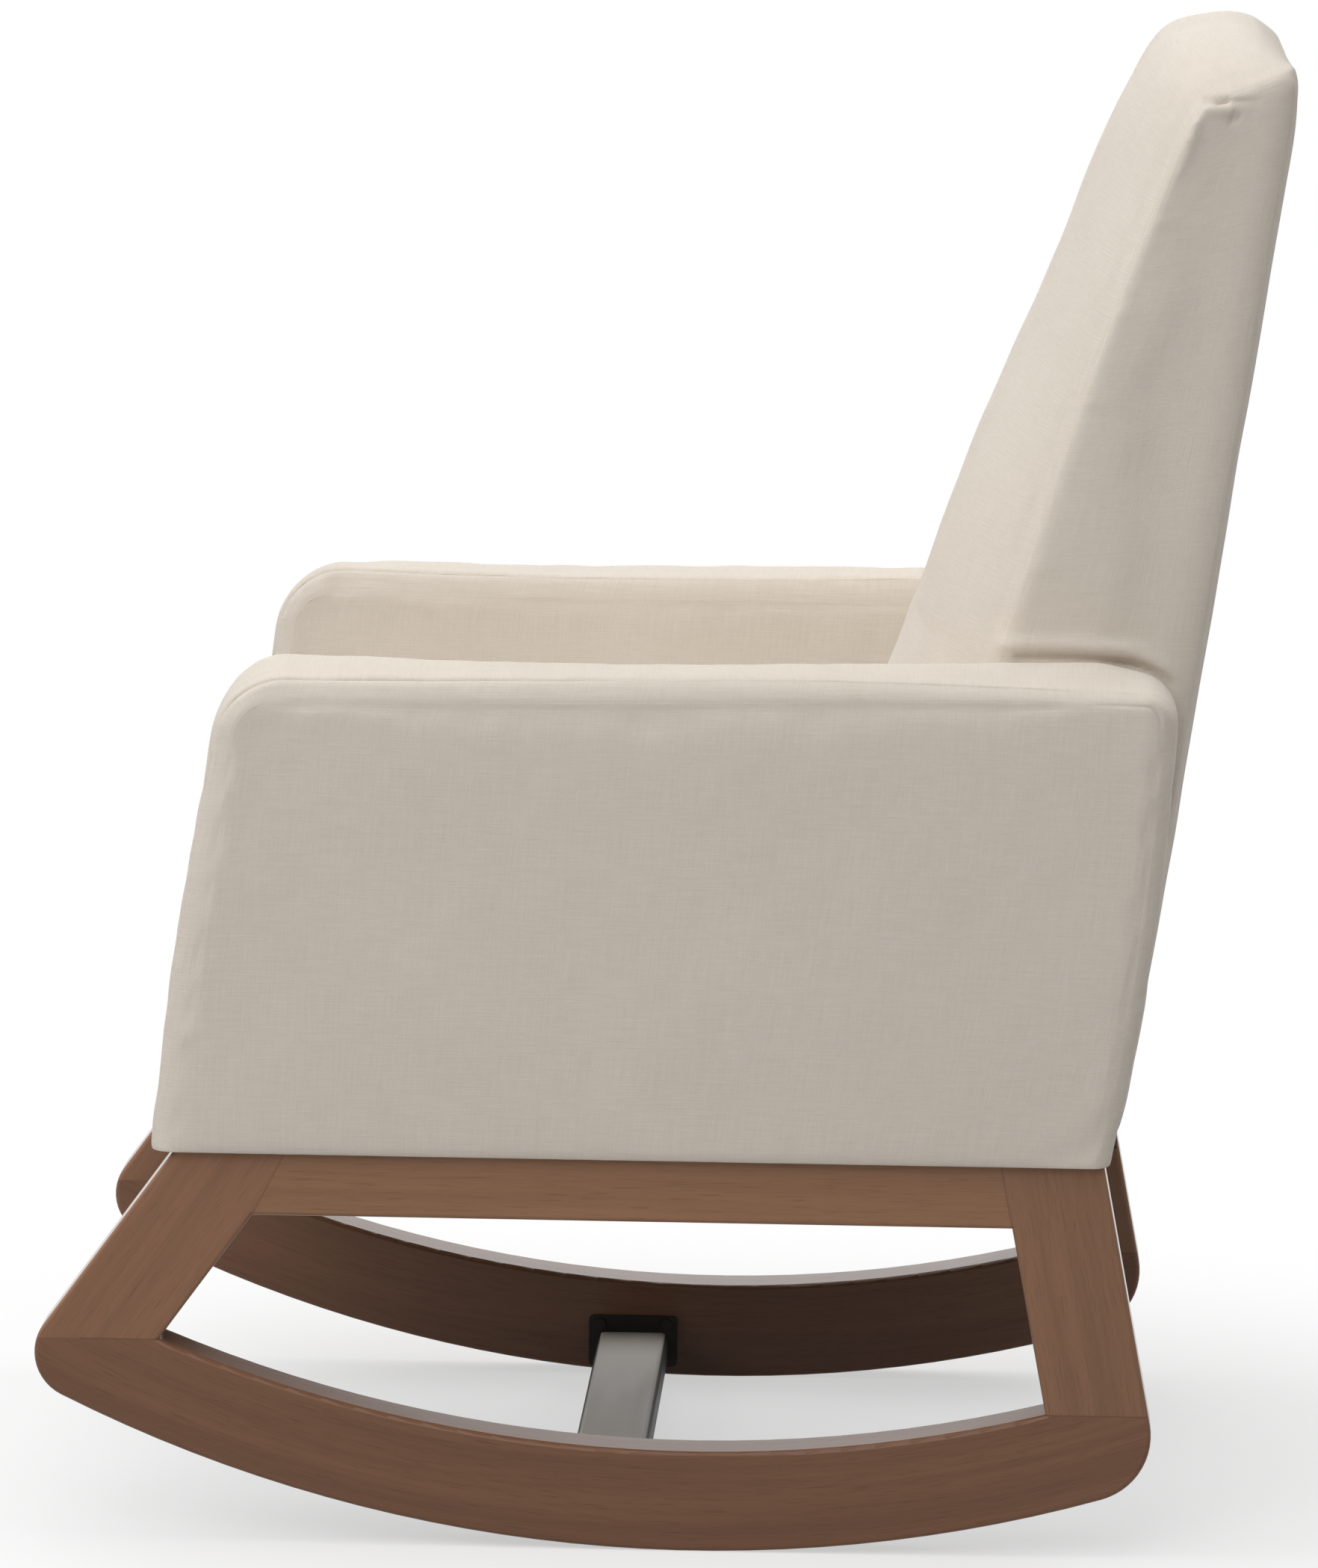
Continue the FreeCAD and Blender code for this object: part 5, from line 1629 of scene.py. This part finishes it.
def laid_on(piece: bpy.types.Object, line: np.ndarray, lift: float) -> np.ndarray:
    """Lays a polyline on a finished piece.

    Args:
        piece: The piece.
        line: The polyline near its surface, in millimetres.
        lift: How far above the surface it goes.

    Returns:
        The polyline on the surface, in steps of about two millimetres.
    """
    tree = BVHTree.FromObject(piece, bpy.context.evaluated_depsgraph_get())
    count = max(2, int(np.linalg.norm(np.diff(line, axis=0), axis=1).sum() / LAID_STEP))
    wanted = np.linspace(0, 1, count + 1)
    share = shares(line)
    dense = np.stack([np.interp(wanted, share, line[:, axis]) for axis in range(3)], axis=1)
    laid = []
    for point in dense:
        place, normal, _, _ = tree.find_nearest(Vector(point * MM))
        laid.append(np.array(place + normal * lift * MM) / MM)
    return np.array(laid)


@dataclass
class DustCloth:
    """The thin black cloth stretched and stapled under the seat and the back.

    Attributes:
        z: The height of its stapled edges.
        sag: How far its middle hangs below them.
        wrinkle: The waves that die out towards its edges.
        staple_inset: How far from its edges the staples lie.
        staple_drop: How far below the edges' height.
    """

    half: float = 237.6
    front_y: float = -315.6
    rear_y: float = 304.0
    z: float = 263.45
    sag: float = 2.2
    wrinkle: Ripple = Ripple(70.0, 0.35, 131)
    thickness: float = 0.4
    cell: float = 9.0
    staple_inset: float = 9.0
    staple_drop: float = 0.55

    def build(self, material: bpy.types.Material) -> bpy.types.Object:
        """Makes the sheet, with a slight sag between its stapled edges."""
        columns = round(2 * self.half / self.cell)
        rows = round((self.rear_y - self.front_y) / self.cell)
        x, y = np.meshgrid(np.linspace(-self.half, self.half, columns + 1),
                           np.linspace(self.front_y, self.rear_y, rows + 1))
        middle = (self.rear_y + self.front_y) / 2
        reach = (self.rear_y - self.front_y) / 2
        inside = (1 - (x / self.half) ** 2) * (1 - ((y - middle) / reach) ** 2)
        flat = np.stack([x, y, np.full_like(x, self.z)], axis=2).reshape(-1, 3)
        wave = self.wrinkle.at(flat) * np.clip(inside.ravel() * 4, 0, 1)
        flat[:, 2] -= self.sag * np.clip(inside.ravel(), 0, 1) + np.abs(wave)
        quads = cells(np.arange(x.size).reshape(x.shape))[..., [0, 3, 2, 1]].reshape(-1, 4)
        mesh = bpy.data.meshes.new("dust_cloth")
        mesh.from_pydata((flat * MM).tolist(), [], quads.tolist())
        spread = np.stack([x - x.min(), y - y.min()], axis=2).reshape(-1, 2) * MM
        mesh.uv_layers.new(name="weave").data.foreach_set("uv", spread[quads.ravel()].ravel())
        mesh.shade_smooth()
        mesh.materials.append(material)
        made = placed("dust_cloth", mesh)
        wall = made.modifiers.new("thickness", "SOLIDIFY")
        wall.thickness = self.thickness * MM
        wall.offset = 0.0
        return made

    def staple_lines(self) -> list[np.ndarray]:
        """The closed line of staples near the cloth's edge, as four runs."""
        x = self.half - self.staple_inset
        y0, y1 = self.front_y + self.staple_inset, self.rear_y - self.staple_inset
        z = self.z - self.staple_drop
        corners = [(-x, y0, z), (x, y0, z), (x, y1, z), (-x, y1, z), (-x, y0, z)]
        return [between(a, b, 60) for a, b in zip(corners, corners[1:])]


# ---------------------------------------------------------------- the studio
@dataclass(frozen=True)
class Lamp:
    """A soft rectangular light that faces a point, in metres and watts."""

    name: str
    place: Triple
    aim: Triple
    width: float
    height: float
    power: float

    def hang(self) -> None:
        """Puts the lamp in the scene."""
        data = bpy.data.lights.new(self.name, "AREA")
        data.shape = "RECTANGLE"
        data.size, data.size_y = self.width, self.height
        data.energy = self.power
        made = placed(self.name, data)
        made.location = self.place
        made.rotation_euler = (Vector(self.aim) - Vector(self.place)).to_track_quat("-Z", "Y").to_euler()


@dataclass(frozen=True)
class Studio:
    """A pale floor that runs out into white, soft lamps, and the camera.

    Attributes:
        ambient: The strength of the light from all round, at the horizon and overhead.
        climb: The sines of the heights between which it goes from the one to the other.
        floor_tone: How much light the floor throws back on the chair.
        floor_white: The floor's own white where it is looked at.
        floor_cloud: How much its white varies.
        floor_glow: How far the floor's shadows are lifted towards white, beside and beyond the chair.
        fade: Where the floor starts and ends its run out to white, from the middle, in metres.
        floor_reach: How far the floor goes.
        eye: Where the camera is.
        yaw: How far it turns from straight across the chair towards its front, in degrees.
        pitch: How far it looks down.
        roll: How far it is turned about its own line of sight.
        focal: Its focal length, in millimetres.
        sensor: Its sensor's width.
    """

    ambient: Pair = (0.0, 0.4)
    climb: Pair = (0.20, 0.40)
    floor_tone: float = 0.52
    floor_white: float = 0.93
    floor_cloud: float = 0.004
    floor_glow: float = 0.55
    fade: Pair = (0.45, 0.95)
    floor_reach: float = 60.0
    lamps: tuple[Lamp, ...] = (
        Lamp("overhead", (0.2, -0.5, 2.7), (0.0, 0.0, 0.4), 2.8, 2.8, 29.0),
        Lamp("front", (0.6, -3.2, 2.1), (0.0, 0.0, 0.7), 2.4, 2.4, 30.0),
        Lamp("left_side", (3.0, -0.6, 2.3), (0.0, 0.0, 0.5), 2.0, 2.0, 34.0),
        Lamp("right_side", (-3.0, -0.3, 2.3), (0.0, 0.0, 0.5), 2.0, 2.0, 20.0),
        Lamp("rear", (-1.8, 2.8, 2.3), (0.0, 0.0, 0.5), 2.0, 2.0, 30.0),
    )
    eye: Triple = (6.5663, 0.2181, 1.3888)
    yaw: float = 2.012
    pitch: float = 7.963
    roll: float = 0.696
    focal: float = 221.19924
    sensor: float = 36.0

    def light(self) -> None:
        """Makes the world and the lamps."""
        world = bpy.data.worlds.new("studio")
        bpy.context.scene.world = world
        world.use_nodes = True
        n = Nodes(world.node_tree)
        height = n.parts(n.node("ShaderNodeTexCoord").outputs["Generated"])[2]
        strength = n.fit(n.seen(), 0.0, 1.0, n.fit(height, *self.climb, *self.ambient), 1.0)
        glow = n.out("ShaderNodeBackground", {"Color": (1.0, 1.0, 1.0, 1.0), "Strength": strength})
        n.node("ShaderNodeOutputWorld", {"Surface": glow})
        for lamp in self.lamps:
            lamp.hang()

    def lay_floor(self) -> None:
        """Makes the floor: pale near the chair, and white further out."""
        r = Recipe("studio_floor")
        own = r.coordinates()
        cloud = r.noise(own, 1.5, 2.0)
        seen = r.seen()
        tone = r.plus(r.fit(seen, 0.0, 1.0, self.floor_tone, self.floor_white),
                      r.fit(cloud, *NOISE, -self.floor_cloud, self.floor_cloud))
        r.surface(r.out("ShaderNodeCombineColor", {0: tone, 1: tone, 2: tone}), 0.9,
                  specular_ior_level=0.0)
        flat = r.node("ShaderNodeVectorMath", {0: own}, operation="LENGTH").outputs["Value"]
        far = r.fit(flat, *self.fade, self.floor_glow, 1.0, smooth=True)
        white = r.out("ShaderNodeEmission", {"Color": (1.0, 1.0, 1.0, 1.0), "Strength": 1.0})
        both = r.out("ShaderNodeMixShader", {0: r.times(far, seen), 1: r.shader.outputs[0], 2: white})
        r.feed(r.output.inputs["Surface"], both)
        mesh = bpy.data.meshes.new("floor")
        end = self.floor_reach
        mesh.from_pydata([(-end, -end, 0), (end, -end, 0), (end, end, 0), (-end, end, 0)], [],
                         [(0, 1, 2, 3)])
        mesh.materials.append(r.material)
        floor = placed("floor", mesh)

    def set_camera(self) -> None:
        """Places the camera and makes it the scene's own."""
        yaw, pitch, roll = (math.radians(a) for a in (self.yaw, self.pitch, self.roll))
        ahead = Vector((-math.cos(yaw) * math.cos(pitch), -math.sin(yaw) * math.cos(pitch),
                        -math.sin(pitch)))
        across = ahead.cross(Vector((0, 0, 1))).normalized()
        up = across.cross(ahead)
        right = across * math.cos(roll) + up * math.sin(roll)
        top = up * math.cos(roll) - across * math.sin(roll)
        data = bpy.data.cameras.new("camera")
        data.sensor_width, data.lens = self.sensor, self.focal
        data.clip_start, data.clip_end = 0.1, 200.0
        made = placed("camera", data)
        made.matrix_world = Matrix.Translation(self.eye) @ Matrix((right, top, -ahead)).transposed().to_4x4()
        bpy.context.scene.camera = made


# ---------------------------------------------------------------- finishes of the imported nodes
RUNNER_CENTRE = (25.17, 950.0)
FRONT_JOINT = JointPlane(-311.0, 136.3, 0.0)
REAR_JOINT = JointPlane(286.0, 96.5, 0.0)
RAIL_FRONT_JOINT = JointPlane(-267.5, 221.0, 63.0)
RAIL_REAR_JOINT = JointPlane(235.0, 221.0, 100.9)


class Wardrobe:
    """All finishes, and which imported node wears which."""

    def __init__(self) -> None:
        """Makes the materials."""
        self.linen = LinenFinish().make()
        self.dust = LinenFinish("dust_weave", (0.030, 0.030, 0.032), (0.018, 0.018, 0.020),
                                0.0011, 0.0002, 0.05).make()
        self.thread = PlainFinish("linen_thread", (0.78, 0.71, 0.62), (0.66, 0.59, 0.50),
                                  (2500.0, 2500.0, 2500.0), 0.8, 0.00005).make()
        self.zinc = MetalFinish("zinc_plate", (0.62, 0.62, 0.60), 1.0, 0.34).make()
        self.black = MetalFinish("black_satin_paint", (0.014, 0.012, 0.010), 0.0, 0.5, shine=0.2).make()
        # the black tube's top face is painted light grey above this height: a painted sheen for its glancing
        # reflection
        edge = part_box("stretcher_tube")[1][2] - MM
        self.tube = MetalFinish("stretcher_steel", (0.014, 0.012, 0.010), 0.0, 0.5, shine=0.4,
                                top=(edge, (0.600, 0.565, 0.510))).make()
        self.spring = MetalFinish("spring_wire", (0.36, 0.36, 0.37), 1.0, 0.36).make()
        self.foam = PlainFinish("foam", (0.86, 0.80, 0.62), (0.72, 0.66, 0.48),
                                (900.0, 900.0, 900.0)).make()
        self.ply = PlainFinish("plywood", (0.72, 0.55, 0.36), (0.55, 0.39, 0.23),
                               (60.0, 900.0, 12.0), 0.7).make()
        self.beech = WoodFinish("pale_frame_wood", (0.62, 0.45, 0.28), (0.46, 0.30, 0.17)).make()
        self.web = PlainFinish("elastic_webbing", (0.16, 0.15, 0.14), (0.07, 0.07, 0.07),
                               (1200.0, 300.0, 1200.0)).make()

    def dress(self) -> None:
        """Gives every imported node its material."""
        # painted light: the walnut's lightness differs by member, the top rail and front post lighter and the
        # runner darker than the rear post, each tuned to its brightness under this light, mostly lifting the
        # top rail out of the shade under the arm's overhang
        walnut = {
            "_runner": WoodFinish("walnut_runner", (0.266, 0.131, 0.075), (0.177, 0.087, 0.050),
                                 circle=RUNNER_CENTRE, joints=(FRONT_JOINT, REAR_JOINT)).make(),
            "_front_post": WoodFinish("walnut_front_post", (0.350, 0.178, 0.100), (0.234, 0.118, 0.067),
                                     lean=36.0, joints=(FRONT_JOINT, RAIL_FRONT_JOINT)).make(),
            "_rear_post": WoodFinish("walnut_rear_post", lean=-10.9,
                                    joints=(REAR_JOINT, RAIL_REAR_JOINT)).make(),
            "_top_rail": WoodFinish("walnut_top_rail", (0.373, 0.195, 0.107), (0.249, 0.130, 0.071),
                                   lean=90.0, joints=(RAIL_FRONT_JOINT, RAIL_REAR_JOINT)).make(),
        }
        for name, node in frame["nodes"].items():
            node.data.materials.clear()
            node.data.materials.append(self._finish_of(name, walnut))

    def _finish_of(self, name: str, walnut: dict[str, bpy.types.Material]) -> bpy.types.Material:
        """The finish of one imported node, by what it is made of."""
        if "arm_" not in name and name.startswith(("left_", "right_")):
            for ending, finish in walnut.items():
                if name.endswith(ending):
                    return finish
        by_word = (
            ("stretcher_tube", self.tube), ("stretcher", self.black), ("springs", self.spring),
            ("clips", self.zinc), ("bolts", self.zinc), ("washers", self.zinc), ("t_nuts", self.zinc),
            ("dowels", self.beech), ("board", self.ply), ("side_panel", self.ply),
            ("webbing", self.web), ("padding", self.foam), ("core", self.foam),
            ("dust_cover", self.dust), ("cover", self.foam))
        for word, finish in by_word:
            if word in name:
                return finish
        return self.beech


FAR_ARM_RISE = ((-330.0, 0.5), (-210.0, 2.2), (-60.0, 2.4), (130.0, 3.9), (250.0, -1.0), (340.0, -4.0))


@dataclass(frozen=True)
class Fitting:
    """How one finished piece belongs to the chair."""

    body: Body
    slot: Slot
    replaces: tuple[str, ...] = ()
    fill: float | None = None

    def apply(self, piece: bpy.types.Object) -> None:
        """Attaches the piece to its body and hides the imported nodes it replaces."""
        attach(piece, self.body.value)
        if self.replaces:
            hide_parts(*self.replaces)


def build_covers(wardrobe: Wardrobe) -> dict[str, tuple[SewnCover, bpy.types.Object]]:
    """Sews, fills and finishes all covers.

    Args:
        wardrobe: The finishes.

    Returns:
        Each cover with its piece, by the piece's name.
    """
    arm, far_arm = BoxArm(), BoxArm(near_rise=FAR_ARM_RISE)
    plans = [
        (arm.cover(Hand.LEFT), Fitting(Body.CHAIR, Slot.LINEN, ("left_arm_cover", "left_arm_padding"), 0.8)),
        (far_arm.cover(Hand.RIGHT), Fitting(Body.CHAIR, Slot.LINEN, ("right_arm_cover", "right_arm_padding"),
                                        0.8)),
        (TallBack().cover(), Fitting(Body.CHAIR, Slot.LINEN, ("back_cover", "back_padding"), 0.75)),
        (SeatDeck().cover(), Fitting(Body.CHAIR, Slot.LINEN, ("deck_cover", "deck_padding",
                                                              "apron_padding"), 0.8)),
        (SeatCushion().cover(), Fitting(Body.CUSHION, Slot.LINEN, ("cushion_cover", "cushion_core"), 0.7)),
    ]
    Stuffing().fill([cover for cover, _ in plans])
    made = {}
    for cover, fitting in plans:
        piece = cover.finish(wardrobe.linen)
        fitting.apply(piece)
        made[cover.name] = (cover, piece)
    return made


def main() -> None:
    """Builds the chair's looks in order and reports each piece."""
    logging.basicConfig(level=logging.INFO, format="%(name)s: %(message)s")
    bpy.context.scene.view_settings.view_transform = "Standard"
    studio = Studio()
    studio.set_camera()
    studio.light()
    studio.lay_floor()
    wardrobe = Wardrobe()
    wardrobe.dress()
    covers = build_covers(wardrobe)

    cushion, piece = covers["seat_cushion"]
    lines = [laid_on(piece, cushion.points[panel.border(side)], 0.1) for panel in cushion.panels
             if panel.name.startswith("boxing") for side in (Side.FOOT, Side.HEAD)]
    stitches = Repeater("stitch_row", wardrobe.thread).along("cushion_stitches", lines, *STITCHES)
    Fitting(Body.CUSHION, Slot.LINEN).apply(stitches)

    dust = DustCloth()
    sheet = dust.build(wardrobe.dust)
    Fitting(Body.CHAIR, Slot.DUST_CLOTH, ("dust_cover",)).apply(sheet)
    staples = Repeater("staple_row", wardrobe.zinc).along("dust_cloth_staples", dust.staple_lines(), *STAPLES)
    Fitting(Body.CHAIR, Slot.ZINC).apply(staples)

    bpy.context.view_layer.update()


if __name__ == "__main__":
    main()
